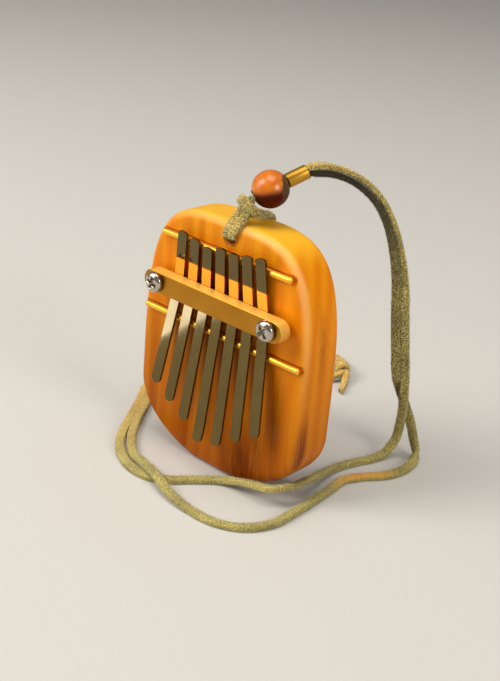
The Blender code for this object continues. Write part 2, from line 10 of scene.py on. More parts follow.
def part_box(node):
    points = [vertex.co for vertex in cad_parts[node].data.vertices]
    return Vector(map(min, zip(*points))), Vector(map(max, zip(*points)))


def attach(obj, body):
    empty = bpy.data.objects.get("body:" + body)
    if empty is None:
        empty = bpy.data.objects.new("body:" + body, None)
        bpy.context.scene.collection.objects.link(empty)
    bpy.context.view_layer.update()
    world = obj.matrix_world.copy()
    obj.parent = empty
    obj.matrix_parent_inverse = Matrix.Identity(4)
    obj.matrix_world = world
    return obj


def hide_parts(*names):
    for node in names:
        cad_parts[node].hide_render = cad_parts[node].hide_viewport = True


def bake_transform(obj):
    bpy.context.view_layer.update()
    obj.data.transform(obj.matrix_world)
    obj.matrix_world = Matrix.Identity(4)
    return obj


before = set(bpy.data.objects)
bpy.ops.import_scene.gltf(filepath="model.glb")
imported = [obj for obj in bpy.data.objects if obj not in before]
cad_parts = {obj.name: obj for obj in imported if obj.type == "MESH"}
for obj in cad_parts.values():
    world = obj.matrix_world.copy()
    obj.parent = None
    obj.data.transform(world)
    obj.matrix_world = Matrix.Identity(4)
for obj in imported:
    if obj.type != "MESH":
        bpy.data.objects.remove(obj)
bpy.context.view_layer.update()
X, Y, Z = range(3)
UP = Vector((0, 0, 1))
QUARTER = math.pi / 2


def middle(box, axis):
    """Middle between a low and a high corner along one axis."""
    return (box[0][axis] + box[1][axis]) / 2


def metres(*rows):
    """Points written in millimetres, as vectors in metres."""
    return [Vector([c / 1000 for c in row]) for row in rows]


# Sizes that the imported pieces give
BODY_LOW, BODY_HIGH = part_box("body")
BAR_LOW, BAR_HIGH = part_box("clamp_bar")
RODS = {name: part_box(name.replace("rod", "bridge_rod")) for name in ("upper_rod", "lower_rod")}
SCREWS = {name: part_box(name) for name in ("left_clamp_screw", "right_clamp_screw")}
FRONT_Y = BODY_LOW.y
BACK_Y = BODY_HIGH.y
TOP_Z = BODY_HIGH.z
BAR_Z = middle((BAR_LOW, BAR_HIGH), Z)
UPPER_ROD_Z = middle(RODS["upper_rod"], Z)
LOWER_ROD_Z = middle(RODS["lower_rod"], Z)
ROD_Y = middle(RODS["lower_rod"], Y)
ROD_RADIUS = (RODS["lower_rod"][1].z - RODS["lower_rod"][0].z) / 2

# Sizes repeated from the part, in metres
WIDEST_Z = 0.0229
CROWN_EXPONENT = 3.86
BELLY_DEPTH = 0.0237
FRONT_EDGE_RADIUS = 0.0030
BACK_EDGE_RADIUS = 0.0034
FIT = 0.0003
GROOVE_RUN = 0.0013
ROD_DOME = 0.55
HOLE = Vector((0.0010, 0.0, 0.0843))
HOLE_RADIUS = 0.00235
SCREW_SHANK = 0.0034
HEAD_DIAMETER = 0.0070
HEAD_HEIGHT = 0.0022
HEAD_RIM = 0.0008
TINE_WIDTH = 0.0041
TINE_THICKNESS = 0.0010
PITCH_AT_UPPER_ROD = 0.00575
PITCH_AT_LOWER_ROD = 0.0068
TONGUE_RISE = math.radians(7.0)
TONGUE_LENGTHS = (0.0250, 0.0290, 0.0330, 0.0375, 0.0356, 0.0308, 0.0266)
TAIL_LENGTHS = (0.0033, 0.0022, 0.0010, 0.0026, 0.0025, 0.0035, 0.0044)
TIP_CURLS = (0.0, 0.0, 0.0, 0.0006, 0.0005, 0.0, 0.0)
CURL_LENGTH = 0.0070
TAIL_ROUND = 0.0010
HINGE_Y = FRONT_Y - 0.0026
LOWER_SPAN = BAR_Z - LOWER_ROD_Z
CLAMPED_SPAN = UPPER_ROD_Z - LOWER_ROD_Z
BEND_FROM_BAR_MIDDLE = 0.0032
BEND_HALF_RUN = 0.0010
STRIP_DIP = math.tan(TONGUE_RISE) * (LOWER_SPAN - BEND_FROM_BAR_MIDDLE)
BEAD_CENTRE = HOLE + Vector((0.00746, 0.0, 0.01648))
BEAD_RADIUS = 0.0060
BEAD_BORE = 0.00221
BEAD_MOUTH = math.sqrt(BEAD_RADIUS ** 2 - BEAD_BORE ** 2)
THREAD = Vector((0.460, 0.767, 0.443)).normalized()
LEVEL = THREAD.cross(UP).normalized()
ABOVE = LEVEL.cross(THREAD)
PAIR_HALF = 0.00096
FERRULE_START = BEAD_MOUTH + FIT
FERRULE_END = FERRULE_START + 0.0069
FERRULE_INSIDE = 0.00201
FERRULE_OUTSIDE = 0.00235
LACE_WIDTH = 0.0031
LACE_THICKNESS = 0.0020
LACE_JOIN = 0.0010
KNOT_CENTRE = Vector((-0.0170, 0.0870, 0.0034))
KNOT_AXIS = Vector((0.700, -0.714, 0.0)).normalized()
KNOT_SIDE = KNOT_AXIS.cross(UP) * 0.0012
KNOT_HALF = 0.0036

# Sizes of the looks alone, in metres
EDGE_STEPS = 10
OUTLINE_FINE = 900
OUTLINE_STEPS = 110
HOLE_FLARE = 0.0009
CUTTER_RUN = 0.0006
BAR_FACE_RIM = 0.00035
BAR_BACK_RIM = 0.00010
BAR_GAP = 0.00003
BORE_REACH = 0.01
HEAD_EASE = 0.0001
HEAD_POWER = 0.9
RECESS_TURNS = {"left_clamp_screw": 20, "right_clamp_screw": 50}
# depth, half span and half slot of the cross recess, from its mouth to its floor
RECESS_STEPS = ((-0.0002, 0.0023, 0.00074), (0.0004, 0.0022, 0.00068), (0.0019, 0.0010, 0.00040))
TINE_ARRIS = 0.00016
TAIL_STEPS = 23
TAIL_FINE = 1.4
CLAMPED_STEPS = 110
TONGUE_STEPS = 40
TIP_FROM = 36
TIP_STEPS = 26
TIP_POWER = 2.0
TAIL_POWER = 2.6
LEAST_WIDTH = 0.04
LACE_STEP = 0.0007
HITCH_STEP = 0.0005
HITCH_SINK = 0.0003
LACE_CORNERS = 16
LACE_SIDE_POWER = 0.36
LACE_FACE_POWER = 0.46
LACE_RAGGED = 0.00006
FINE_RAGS = 1500
COARSE_RAGS = 400
LEVEL_FROM = 0.25
LEVEL_RUN = 0.40
TURN_SHARE = 0.3
LACE_CUT = 0.0012
LACE_LIFT = 0.00005
FLOOR_GAP = 0.00004
NAP_DENSITY = 7.0e6
NAP_LENGTH = 0.0005
NAP_ROOT = 0.00004
NAP_GAP = 0.00003

# Routes of the lace in millimetres, repeated from the part
INNER_ROUTE = metres(
    (15.6, 11.9, 108.11), (19.19, 17.88, 107.53), (23.87, 25.56, 104.02), (27.75, 32.12, 97.72),
    (30.57, 36.75, 89.57), (32.75, 40.21, 79.7), (34.58, 42.75, 68.07), (35.66, 44.24, 56.6),
    (36.66, 45.89, 44.2), (37.52, 47.51, 33.1), (38.8, 46.6, 26.8), (38.4, 47.9, 21.2), (36.4, 51, 13.4),
    (35.6, 50.5, 6), (34.9, 45.9, 2.1), (33.2, 39.1, 0.95), (30.6, 31.6, 0.95), (29.1, 23.1, 1.3),
    (30.6, 13.3, 3.2), (32.4, 3.4, 5.5), (33, -5.6, 7.2), (28.7, -10.8, 6.6), (21.7, -11.2, 5.2),
    (15.5, -11.4, 3.2), (10.1, -12.6, 1.7), (2.7, -19.6, 0.95), (-2.1, -25.5, 0.95), (-8.7, -29.6, 0.95),
    (-15.6, -29.9, 0.95), (-24.1, -27.1, 0.95), (-32.1, -21, 0.95), (-41.3, -8.9, 0.95), (-51, 5.7, 0.95),
    (-56.7, 13.4, 0.95), (-61.3, 23.6, 0.95), (-63.5, 38, 0.95), (-62.3, 54.2, 0.95), (-57.8, 69.5, 0.95),
    (-51.1, 82.2, 0.95), (-42.9, 92, 0.95), (-33.3, 97.1, 1.2), (-25.2, 95.6, 2))
OUTER_ROUTE = metres(
    (15.6, 11.9, 105.99), (19.01, 17.42, 105.47), (23.33, 24.64, 102.18), (26.95, 30.78, 96.28),
    (29.53, 35.05, 88.63), (31.35, 38.29, 79.1), (32.62, 40.75, 67.93), (33.34, 42.26, 56.6),
    (34.34, 43.91, 44.2), (35.28, 45.59, 33.1), (36, 48.8, 26.2), (37.7, 50.9, 20.4), (39.6, 52.5, 14.5),
    (41.1, 54.1, 7.4), (43, 54, 2.4), (44.8, 49.6, 1), (45.6, 42.5, 0.95), (44, 35.4, 0.95),
    (39.1, 27.5, 0.95), (36.3, 21, 0.95), (37, 12.1, 0.95), (37.7, 2.9, 0.95), (38.2, -8, 0.95),
    (37.7, -19.5, 0.95), (33.8, -26.7, 0.95), (26, -31.7, 0.95), (16.2, -32.9, 1.1), (6.1, -32.5, 2.2),
    (-5.3, -29.2, 3.4), (-14.4, -26.2, 2.4), (-20.9, -24.2, 1.3), (-30.7, -16.9, 0.95),
    (-41.5, -3.7, 0.95), (-48.9, 7.7, 0.95), (-53.85, 14.9, 0.95), (-58.15, 24.6, 0.95),
    (-60.3, 38, 0.95), (-59.15, 53.65, 0.95), (-54.7, 68.2, 0.95), (-48.45, 80.4, 0.95),
    (-40.8, 89.5, 0.95), (-32.6, 94, 1.2), (-25.8, 93, 2))
SHORT_TAIL_ROUTE = metres(
    (-15.8, 80.8, 2.6), (-16.4, 78.6, 1.4), (-17, 76, 0.95))
LONG_TAIL_ROUTE = metres(
    (-11.9, 82.6, 2.2), (-10, 79.3, 1.2), (-8, 75.6, 0.95), (-7.1, 73.9, 0.95))

# The hitch, counted from the hole in millimetres, with its depth in half thicknesses of the body, and the
# way its flat lace faces: the direction across its width at each point
HITCH_ROUTE = (
    (2.5, -0.582, 11.85), (1.3, -0.655, 9.7), (0.55, -0.764, 7.75), (0.22, -0.921, 5.85),
    (-0.08, -1.103, 4), (-0.6, -1.176, 2.1), (-1.1, -1.115, 0.45), (-1.15, -0.909, 0), (-1.15, -0.667, 0),
    (-1.15, 0.667, 0), (-1.15, 0.909, 0), (-1.15, 1.103, 0.3), (-1.15, 1.164, 1.7), (-1.2, 1.079, 3.8),
    (-1.2, 0.873, 5.55), (-1.2, 0.558, 6.3), (-1.2, 0.194, 6.6), (-1, -0.097, 8.6), (-0.5, -0.364, 10.7),
    (0.1, -0.606, 12.2), (1.4, -0.812, 12.8), (3.4, -0.909, 12.8), (5.6, -0.921, 11.7), (7.2, -0.8, 10.5),
    (7.7, -0.582, 9.4), (7.1, -0.267, 8.5), (5.6, 0.048, 7.7), (4.2, 0.412, 6.8), (3, 0.776, 6.25),
    (2.2, 1.042, 4.4), (1.5, 1.152, 2.3), (1.2, 1.103, 0.4), (1.15, 0.909, 0), (1.15, 0.667, 0),
    (1.15, -0.667, 0), (1.15, -0.909, 0), (1.2, -1.115, 0.45), (1.8, -1.176, 2.1), (2.48, -1.103, 3.8),
    (2.78, -0.921, 5.45), (3.05, -0.764, 7.05), (3.7, -0.679, 8.9), (4.5, -0.655, 11.15))
HITCH_ACROSS = {
    0: (0.86, -0.5, 0.0), 1: (0.9, -0.3, -0.3), 2: (0.95, -0.1, -0.35), 3: (0.96, 0.0, -0.28),
    4: (1.0, 0.0, -0.15), 6: (1.0, 0.0, 0.0), 17: (1.0, 0.0, 0.0), 18: (0.95, 0.1, 0.3),
    19: (0.8, 0.2, 0.55), 20: (0.6, 0.15, 0.8), 21: (0.4, 0.05, 0.9), 22: (0.3, 0.0, 0.95),
    23: (0.35, 0.1, 0.93), 24: (0.3, 0.35, 0.88), 25: (-0.1, 0.45, 0.88), 26: (-0.7, 0.2, 0.7),
    28: (-0.85, 0.1, 0.45), 29: (-0.95, 0.0, 0.25), 31: (-1.0, 0.0, 0.0), 39: (-1.0, 0.0, 0.05),
    41: (-0.96, 0.0, 0.28), 42: (-0.95, 0.1, 0.35), 43: (-0.9, 0.3, 0.3), 44: (-0.86, 0.5, 0.0)}

# Places on the board that are darker, heart streaks and painted shade: centre, reach in millimetres and share
DARK_PLACES = (
    # heart streaks with painted shade low in the middle and down the right edge, a painted shadow of the last
    # tine beside it, and a heart streak up the right side
    ((15.0, -8.0, 4.0), (15.0, 14.0, 26.0), 0.90), ((25.5, -8.0, 27.0), (7.0, 8.0, 30.0), 0.55),
    ((36.6, -6.0, 21.0), (4.2, 3.2, 19.0), 0.95), ((37.5, -1.0, 62.0), (5.0, 3.0, 24.0), 0.40),
    # painted shade under the tines, where they shade the board
    ((0.0, -8.0, 64.0), (25.0, 4.0, 21.0), 0.95), ((1.0, -8.0, 42.0), (25.0, 4.0, 26.0), 0.62))


def linear(code):
    """Turn a screen colour such as b06a35 into linear red, green, blue and full alpha."""
    values = [int(code[i:i + 2], 16) / 255 for i in (0, 2, 4)]
    return [v / 12.92 if v <= 0.04045 else ((v + 0.055) / 1.055) ** 2.4 for v in values] + [1.0]


def fill(tree, node, sockets):
    """Fill a node's inputs, by name or in the order shown, with values, colour codes or links."""
    if not isinstance(sockets, dict):
        sockets = dict(zip((i for i, socket in enumerate(node.inputs) if socket.enabled), sockets))
    for key, value in sockets.items():
        if isinstance(value, bpy.types.Node):
            value = next(socket for socket in value.outputs if socket.enabled)
        if isinstance(value, bpy.types.NodeSocket):
            tree.links.new(value, node.inputs[key])
        else:
            node.inputs[key].default_value = linear(value) if isinstance(value, str) else value


# What the mode of a kind of node is called
MODES = {"Math": "operation", "VectorMath": "operation", "Mix": "data_type", "MapRange": "interpolation_type",
         "FunctionNodeRandomValue": "data_type", "GeometryNodeFilletCurve": "mode"}


def add(tree, kind, sockets=(), mode=None, stops=(), **settings):
    """Add one node with its mode, its settings, its inputs and its colour stops."""
    made = tree.nodes.new(kind if "Node" in kind else "ShaderNode" + kind)
    if mode:
        settings[MODES[kind]] = mode
    for key, value in settings.items():
        setattr(made, key, value)
    fill(tree, made, sockets)
    if stops:
        ramp = made.color_ramp
        while len(ramp.elements) < len(stops):
            ramp.elements.new(0.5)
        for element, (position, code) in zip(ramp.elements, stops):
            element.position = position
            element.color = linear(code)
    return made


def finish(made, sockets):
    """Fill the inputs of a material's shader."""
    fill(made.node_tree, made.node_tree.nodes["Principled BSDF"], sockets)
    return made


def new_material(name, even):
    """A material with even values on its shader, what adds its nodes, and its coordinates in millimetres."""
    made = bpy.data.materials.new(name)
    made.use_nodes = True
    put = partial(add, finish(made, even).node_tree)
    spot = put("TexCoord").outputs["Object"]
    return made, put, put("Mapping", {"Vector": spot, "Scale": (1000, 1000, 1000)})


# Inputs in order: a noise takes its place, scale and detail, and a range its value, then the two ends that it
# comes from and the two that it goes to


def oiled_wood():
    """Oiled plum: satin golden orange with upright grain, red-brown streaks, painted shade towards the foot
    and under the tines, and painted highlights on the crown and front edge.
    """
    made, put, mm = new_material("oiled_plum_wood", {
        "Coat Weight": 0.04, "Coat Roughness": 0.14, "Specular IOR Level": 0.08})
    # slow drift of the grain: about 26 mm across and 110 mm along
    drift_at = put("Mapping", {"Vector": mm, "Scale": (1 / 26, 1 / 26, 1 / 110)})
    drift = put("TexNoise", (drift_at, 1.0, 1.0)).outputs["Color"]
    shift = put("VectorMath", (drift, (0.5, 0.5, 0.5)), "SUBTRACT")
    far = put("VectorMath", (shift, (12.0, 12.0, 0.0)), "MULTIPLY")
    grain_at = put("VectorMath", (mm, far))
    # growth rings 5 mm apart round a heart far behind the right edge, so they run upright on the face; a wave
    # of scale 0.314 has rings 1 mm apart
    heart_and_shade = put("Mapping", {"Vector": grain_at, "Location": (-70.0, -60.0, 0.0)})
    rings = put("TexWave", {"Vector": heart_and_shade, "Scale": 0.314 / 5.0, "Distortion": 0.0},
                wave_type="RINGS", rings_direction="Z").outputs["Fac"]
    ringed = put("Mix", (rings, "ec920d", "e07f06"), "RGBA")
    # fibres 0.6 mm wide and 24 mm long
    fibre_at = put("Mapping", {"Vector": grain_at, "Scale": (1.7, 1.7, 1 / 24)})
    fibres = put("TexNoise", (fibre_at, 1.0, 2.0))
    lined = put("MapRange", (fibres, 0.40, 0.70, 0.0, 0.20))
    grained = put("Mix", (lined, ringed, "c86200"), "RGBA")
    # soft brown streaks about 5 mm wide, 25 mm deep and 90 mm long
    streak_at = put("Mapping", {"Vector": grain_at, "Location": (3.1, 1.7, 0.4),
                                "Scale": (1 / 5, 1 / 25, 1 / 90)})
    streaks = put("TexNoise", (streak_at, 1.0, 1.0))
    streak = put("MapRange", (streaks, 0.48, 0.74, 0.0, 0.22), "SMOOTHSTEP")
    # painted shade: darker from 64 mm down to the foot, where less light reaches
    height = put("SeparateXYZ", (grain_at,)).outputs[Z]
    foot = put("MapRange", (height, 64.0, 2.0, 0.0, 0.70))
    # painted highlight: paler over the crown, where the light falls on the top, most of it behind the front
    # face
    spot = put("SeparateXYZ", (mm,)).outputs
    top = put("MapRange", (height, 80.0, 90.0, 0.0, 0.9), "SMOOTHSTEP")
    inside = put("MapRange", (spot[Y], FRONT_Y * 1000, FRONT_Y * 1000 + 2.0, 0.25, 1.0))
    crown = put("Math", (top, inside), "MULTIPLY")
    crown_highlighted = put("Mix", (crown, grained, "fbbf2e"), "RGBA")
    below = put("Math", (1.0, crown), "SUBTRACT")
    clear = put("Math", (streak, below), "MULTIPLY")
    dark = put("Math", (clear, foot), "ADD", use_clamp=True)
    streak_and_foot_shade = put("Mix", (dark, crown_highlighted, "7e3000"), "RGBA")
    # dark places, heart streaks and painted shade, with fibrous edges
    fibrous = put("MapRange", (fibres, 0.3, 0.6, 0.55, 1.0))
    darkest = 0.0
    for centre, reach, share in DARK_PLACES:
        apart = put("VectorMath", (mm, centre), "SUBTRACT")
        sized = put("VectorMath", (apart, reach), "DIVIDE")
        out = put("VectorMath", (sized,), "LENGTH")
        near = put("MapRange", (out, 1.0, 0.1, 0.0, share), "SMOOTHSTEP")
        darkened = put("Math", (near, fibrous), "MULTIPLY")
        darkest = put("Math", (darkest, darkened), "MAXIMUM")
    streaked_and_shaded = put("Mix", (darkest, streak_and_foot_shade, "642000"), "RGBA")
    # painted highlight: the rounded front edge is paler, most of all over the crown and to the right, where
    # the light catches it
    rim = put("Attribute", attribute_name="rim").outputs["Fac"]
    tall = put("MapRange", (height, 35.0, 84.0, 0.04, 0.40))
    right = put("MapRange", (spot[X], -25.0, 15.0, 0.45, 1.0))
    rubbed_and_sheen = put("Math", (tall, right), "MULTIPLY")
    edged = put("Math", (rim, rubbed_and_sheen), "MULTIPLY")
    shown = put("Mix", (edged, streaked_and_shaded, "ffd890"), "RGBA")
    rough = put("MapRange", (fibres, 0.0, 1.0, 0.26, 0.38))
    bump = put("Bump", {"Height": fibres, "Strength": 0.06, "Distance": 0.00005})
    return finish(made, {"Base Color": shown, "Roughness": rough, "Normal": bump})


def drawn_brass(name, bright, dull, along, smooth, top_highlight=None):
    """Drawn brass, rubbed lengthwise: warm gold with soft streaks in its gloss."""
    made, put, mm = new_material(name, {"Metallic": 1.0})
    # rubbing lines drawn coarser than the real grit
    lines_at = put("Mapping", {"Vector": mm, "Scale": along})
    lines = put("TexNoise", (lines_at, 1.0, 2.0))
    # tarnish that comes and goes over 12 mm
    cloud = put("TexNoise", (mm, 1 / 12, 1.0))
    tint = put("Mix", (cloud, bright, dull), "RGBA")
    rough = put("MapRange", (lines, 0.3, 0.7, smooth, smooth + 0.07))
    if top_highlight:
        # painted highlight: the face stays dull, and the top and ends behind it take a paler colour for the
        # light from above and a rougher gloss
        depth = put("SeparateXYZ", (mm,)).outputs[Y]
        face = BAR_LOW.y * 1000
        behind = put("MapRange", (depth, face + 0.05, face + 0.35))
        tint = put("Mix", (behind, tint, top_highlight), "RGBA")
        rough = put("Mix", (behind, rough, 0.60))
    bump = put("Bump", {"Height": lines, "Strength": 0.03, "Distance": 0.00001})
    return finish(made, {"Base Color": tint, "Roughness": rough, "Normal": bump})


def polished_steel():
    """Polished spring steel: a dark mirror with faint lengthwise scratches and a dull film in places."""
    made, put, mm = new_material("polished_spring_steel", {"Metallic": 1.0})
    # scratches 0.2 mm apart and 8 mm long, and a film in patches of 5 mm
    lines_at = put("Mapping", {"Vector": mm, "Scale": (5.0, 5.0, 1 / 8)})
    lines = put("TexNoise", (lines_at, 1.0, 2.0))
    film = put("TexNoise", (mm, 1 / 5, 4.0))
    tint = put("Mix", (film, "76663e", "665635"), "RGBA")
    # painted reflection: the first 6 mm above the bar are a paler, warmer steel, so that the bar's edge shows
    # bright in them
    height = put("SeparateXYZ", (mm,)).outputs[Z]
    risen = put("Math", (height, BAR_HIGH.z * 1000), "SUBTRACT")
    near = put("MapRange", (risen, 6.0, 5.6))
    over = put("Math", (risen, 0.0), "GREATER_THAN")
    bare_and_reflection = put("Math", (near, over), "MULTIPLY")
    shown = put("Mix", (bare_and_reflection, tint, "d2986a"), "RGBA")
    both = put("Math", (lines, film), "MULTIPLY")
    rough = put("MapRange", (both, 0.12, 0.42, 0.05, 0.12))
    # above the bar the shading leans outwards by 11 degrees, so that the tails mirror the bar; the strip
    # itself is straight
    above = put("Math", (risen, 0.0), "MAXIMUM")
    leaning = put("Math", (above, 0.19), "MULTIPLY")
    bump = put("Bump", {"Height": leaning, "Strength": 1.0, "Distance": 0.001})
    return finish(made, {"Base Color": shown, "Roughness": rough, "Normal": bump})


def nickel_plate():
    """Nickel plate on a pressed screw head: bright, with fine handling marks."""
    made, put, mm = new_material("bright_nickel_plate", {"Metallic": 1.0})
    # handling marks about 0.7 mm across
    marks = put("TexNoise", (mm, 1 / 0.7, 4.0))
    tint = put("Mix", (marks, "cdc4b6", "a89f92"), "RGBA")
    rough = put("MapRange", (marks, 0.0, 1.0, 0.08, 0.22))
    bump = put("Bump", {"Height": marks, "Strength": 0.10, "Distance": 0.00003})
    return finish(made, {"Base Color": tint, "Roughness": rough, "Normal": bump})


def suede():
    """Cut suede: khaki nap that breaks into pale and dark flecks, smooth and tan where it was rubbed."""
    made, put, mm = new_material("khaki_suede", {
        "Roughness": 0.95, "Sheen Weight": 0.18, "Sheen Roughness": 0.5, "Specular IOR Level": 0.2})
    # nap flecks 0.4 mm across, drawn coarser than real nap so that they show
    flecks = put("TexNoise", (mm, 1 / 0.4, 3.0, 0.65))
    colour = put("ValToRGB", (flecks,), stops=(
        (0.38, "241b06"), (0.46, "847838"), (0.54, "bdad5a"), (0.63, "f6eba6")))
    # handling has rubbed the flecks smoother on the run that lies on the floor
    height = put("SeparateXYZ", (mm,)).outputs[Z]
    lifted = put("MapRange", (height, 8.0, 30.0, 0.6, 1.0))
    fleck = put("Mix", (lifted, "ab9d52", colour), "RGBA")
    # patches where the nap lies another way, about 9 mm long
    lay = put("TexNoise", (mm, 1 / 9, 2.0))
    shade = put("MapRange", (lay, 0.35, 0.65, 0.78, 1.15))
    napped = put("VectorMath", (fleck, shade), "SCALE")
    rubbed_and_sheen = put("Attribute", attribute_name="rubbed_and_sheen").outputs["Fac"]
    patchy = put("MapRange", (flecks, 0.38, 0.52, 0.65, 1.0))
    bare_and_reflection = put("Math", (rubbed_and_sheen, patchy), "MULTIPLY")
    tanned = put("Mix", (bare_and_reflection, napped, "e8ab48"), "RGBA")
    # one strand is darker near the ferrule and on its way down
    darker_strand = put("Attribute", attribute_name="darker_strand").outputs["Fac"]
    darkened = put("Mix", (darker_strand, tanned, "1f140a"), "RGBA")
    bump = put("Bump", {"Height": flecks, "Strength": 1.0, "Distance": 0.0005})
    return finish(made, {"Base Color": darkened, "Normal": bump})


def nap_fibre():
    """Loose suede fibres, paler than the lace they stand on."""
    made, put, mm = new_material("suede_fibre", {"Roughness": 0.9, "Sheen Weight": 0.3})
    # colour turns from fibre to fibre, about every 0.6 mm
    turn = put("TexNoise", (mm, 1 / 0.6, 1.0))
    tint = put("ValToRGB", (turn,), stops=((0.38, "6b5f33"), (0.50, "b6a968"), (0.62, "e4d9a4")))
    darker_strand = put("Attribute", attribute_name="darker_strand").outputs["Fac"]
    darkened = put("Mix", (darker_strand, tint, "2a1d0e"), "RGBA")
    return finish(made, {"Base Color": darkened})


def polished_bead_wood():
    """Lacquered bead: orange wood with painted shade in dark red over its lower side, rough dark bark at the
    ferrule end.
    """
    made, put, mm = new_material("lacquered_bead_wood", {"Coat Roughness": 0.26, "Specular IOR Level": 0.05})
    centred = put("VectorMath", (mm, BEAD_CENTRE * 1000), "SUBTRACT")
    cloud = put("TexNoise", (centred, 1 / 2.2, 3.0))
    warm = put("Mix", (cloud, "ec8a1e", "b44c06"), "RGBA")
    shade_red = put("Mix", (cloud, "5c1c00", "320c00"), "RGBA")
    # painted shade: dark red comes in softly below the middle, more on the ferrule side, where the bead is
    # shaded
    level = put("VectorMath", (centred, (-0.22, -0.10, 0.97)), "DOT_PRODUCT")
    wavy = put("Math", (level, cloud), "ADD")
    heart_and_shade = put("MapRange", (wavy, 1.9, -0.7), "SMOOTHSTEP")
    lower_shaded = put("Mix", (heart_and_shade, warm, shade_red), "RGBA")
    # the lacquer has kept its gloss on the upper side
    gloss = put("MapRange", (level, -1.5, 1.5))
    # bark covers the last 2 mm, pitted every 0.5 mm
    reach = put("VectorMath", (centred, (0.745, 0.65, 0.15)), "DOT_PRODUCT")
    edge = put("Math", (reach, cloud), "ADD")
    bark = put("MapRange", (edge, 4.0, 4.5))
    pits = put("TexNoise", (centred, 1 / 0.5, 2.0))
    crust = put("Mix", (pits, "2c1608", "6d4b31"), "RGBA")
    ended = put("Mix", (bark, lower_shaded, crust), "RGBA")
    rough = put("MapRange", (bark, 0.0, 1.0, 0.28, 0.60))
    pitted = put("Math", (bark, pits), "MULTIPLY")
    bump = put("Bump", {"Height": pitted, "Strength": 0.5, "Distance": 0.0002})
    return finish(made, {"Base Color": ended, "Coat Weight": gloss, "Roughness": rough, "Normal": bump})


def studio_floor():
    """Matt pale paper with a hardly visible tooth, about 1 mm across."""
    made, put, mm = new_material("pale_paper", {"Roughness": 0.85})
    tooth = put("TexNoise", (mm, 0.9, 2.0))
    tint = put("Mix", (tooth, "d2d0cb", "cdcbc6"), "RGBA")
    return finish(made, {"Base Color": tint})


WOOD = oiled_wood()
BAR_BRASS = drawn_brass("rubbed_bar_brass", "c48a2e", "a46c1c", (1 / 9, 5.0, 5.0), 0.28, "f2c65e")
ROD_BRASS = drawn_brass("drawn_rod_brass", "ffc64a", "f2b03a", (1 / 9, 4.0, 4.0), 0.36)
FERRULE_BRASS = drawn_brass("polished_ferrule_brass", "c9983c", "b88730", (1.0, 1.0, 1.0), 0.38)
STEEL = polished_steel()
NICKEL = nickel_plate()
SUEDE = suede()
FIBRE = nap_fibre()
BEAD_WOOD = polished_bead_wood()
PAPER = studio_floor()


def in_scene(name, data):
    """A new object in the scene."""
    made = bpy.data.objects.new(name, data)
    bpy.context.scene.collection.objects.link(made)
    return made


def place(name, data, surface):
    """A finished piece at the origin, with its place in its mesh."""
    data.materials.clear()
    data.materials.append(surface)
    return in_scene(name, data)


def hand_in(piece, slot, *nodes, body="frame"):
    """Say which body a piece rides on and which nodes it replaces; the slot is not used."""
    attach(piece, body)
    if nodes:
        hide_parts(*nodes)


def mesh_from(bm, name, sharp=32):
    """Turn a bmesh into a smooth mesh with its real edges kept sharp."""
    bmesh.ops.recalc_face_normals(bm, faces=bm.faces)
    data = bpy.data.meshes.new(name)
    bm.to_mesh(data)
    bm.free()
    data.shade_smooth()
    data.set_sharp_from_angle(angle=math.radians(sharp))
    return data


def evaluated(made):
    """Mesh of an object with its modifiers applied."""
    graph = bpy.context.evaluated_depsgraph_get()
    return bpy.data.meshes.new_from_object(made.evaluated_get(graph))


def settle(made):
    """Apply a piece's modifiers, so that it is a plain mesh."""
    data = evaluated(made)
    made.modifiers.clear()
    made.data = data


def arc(start, end, steps):
    """Evenly spaced angles from start to end."""
    return [start + (end - start) * k / steps for k in range(steps + 1)]


def prism(outline, low, high):
    """Extrude an (x, z) outline along Y between two levels."""
    bm = bmesh.new()
    near = [bm.verts.new((x, low, z)) for x, z in outline]
    far = [bm.verts.new((x, high, z)) for x, z in outline]
    bm.faces.new(near)
    bm.faces.new(reversed(far))
    for i in range(len(outline)):
        j = (i + 1) % len(outline)
        bm.faces.new((near[i], far[i], far[j], near[j]))
    bm.normal_update()
    return bm


def loft(bm, rings):
    """Join rings of vertices, and close both ends."""
    for a, b in zip(rings, rings[1:]):
        for i in range(len(a)):
            j = (i + 1) % len(a)
            bm.faces.new((a[i], a[j], b[j], b[i]))
    bm.faces.new(rings[0])
    bm.faces.new(reversed(rings[-1]))


def round_rim(bm, level, radius, steps):
    """Round the edges of the flat face that lies at one Y level."""
    rim = [e for e in bm.edges if all(abs(v.co.y - level) < 1e-7 for v in e.verts)]
    bmesh.ops.bevel(bm, geom=rim, offset=radius, offset_type="OFFSET", segments=steps,
                    profile=0.5, affect="EDGES", clamp_overlap=False)


def lathe(name, profile, turn, centre, steps=64, closed=False, sharp=32):
    """Spin a (radius, height) profile about Z, then turn it and set it in place."""
    bm = bmesh.new()
    ring = [bm.verts.new((r, 0, h)) for r, h in profile]
    edges = [bm.edges.new(pair) for pair in zip(ring, ring[1:])]
    if closed:
        edges.append(bm.edges.new((ring[-1], ring[0])))
    bmesh.ops.spin(bm, geom=ring + edges, axis=(0, 0, 1), cent=(0, 0, 0), angle=2 * math.pi,
                   steps=steps, use_merge=True)
    bmesh.ops.remove_doubles(bm, verts=bm.verts, dist=1e-7)
    bmesh.ops.dissolve_degenerate(bm, edges=bm.edges, dist=1e-7)
    data = mesh_from(bm, name, sharp)
    data.transform(Matrix.Translation(centre) @ turn.to_4x4())
    return data


ALONG_X = Matrix.Rotation(QUARTER, 3, "Y")
OUT_OF_FACE = Matrix.Rotation(QUARTER, 3, "X")
ALONG_THREAD = THREAD.to_track_quat("Z", "Y").to_matrix()


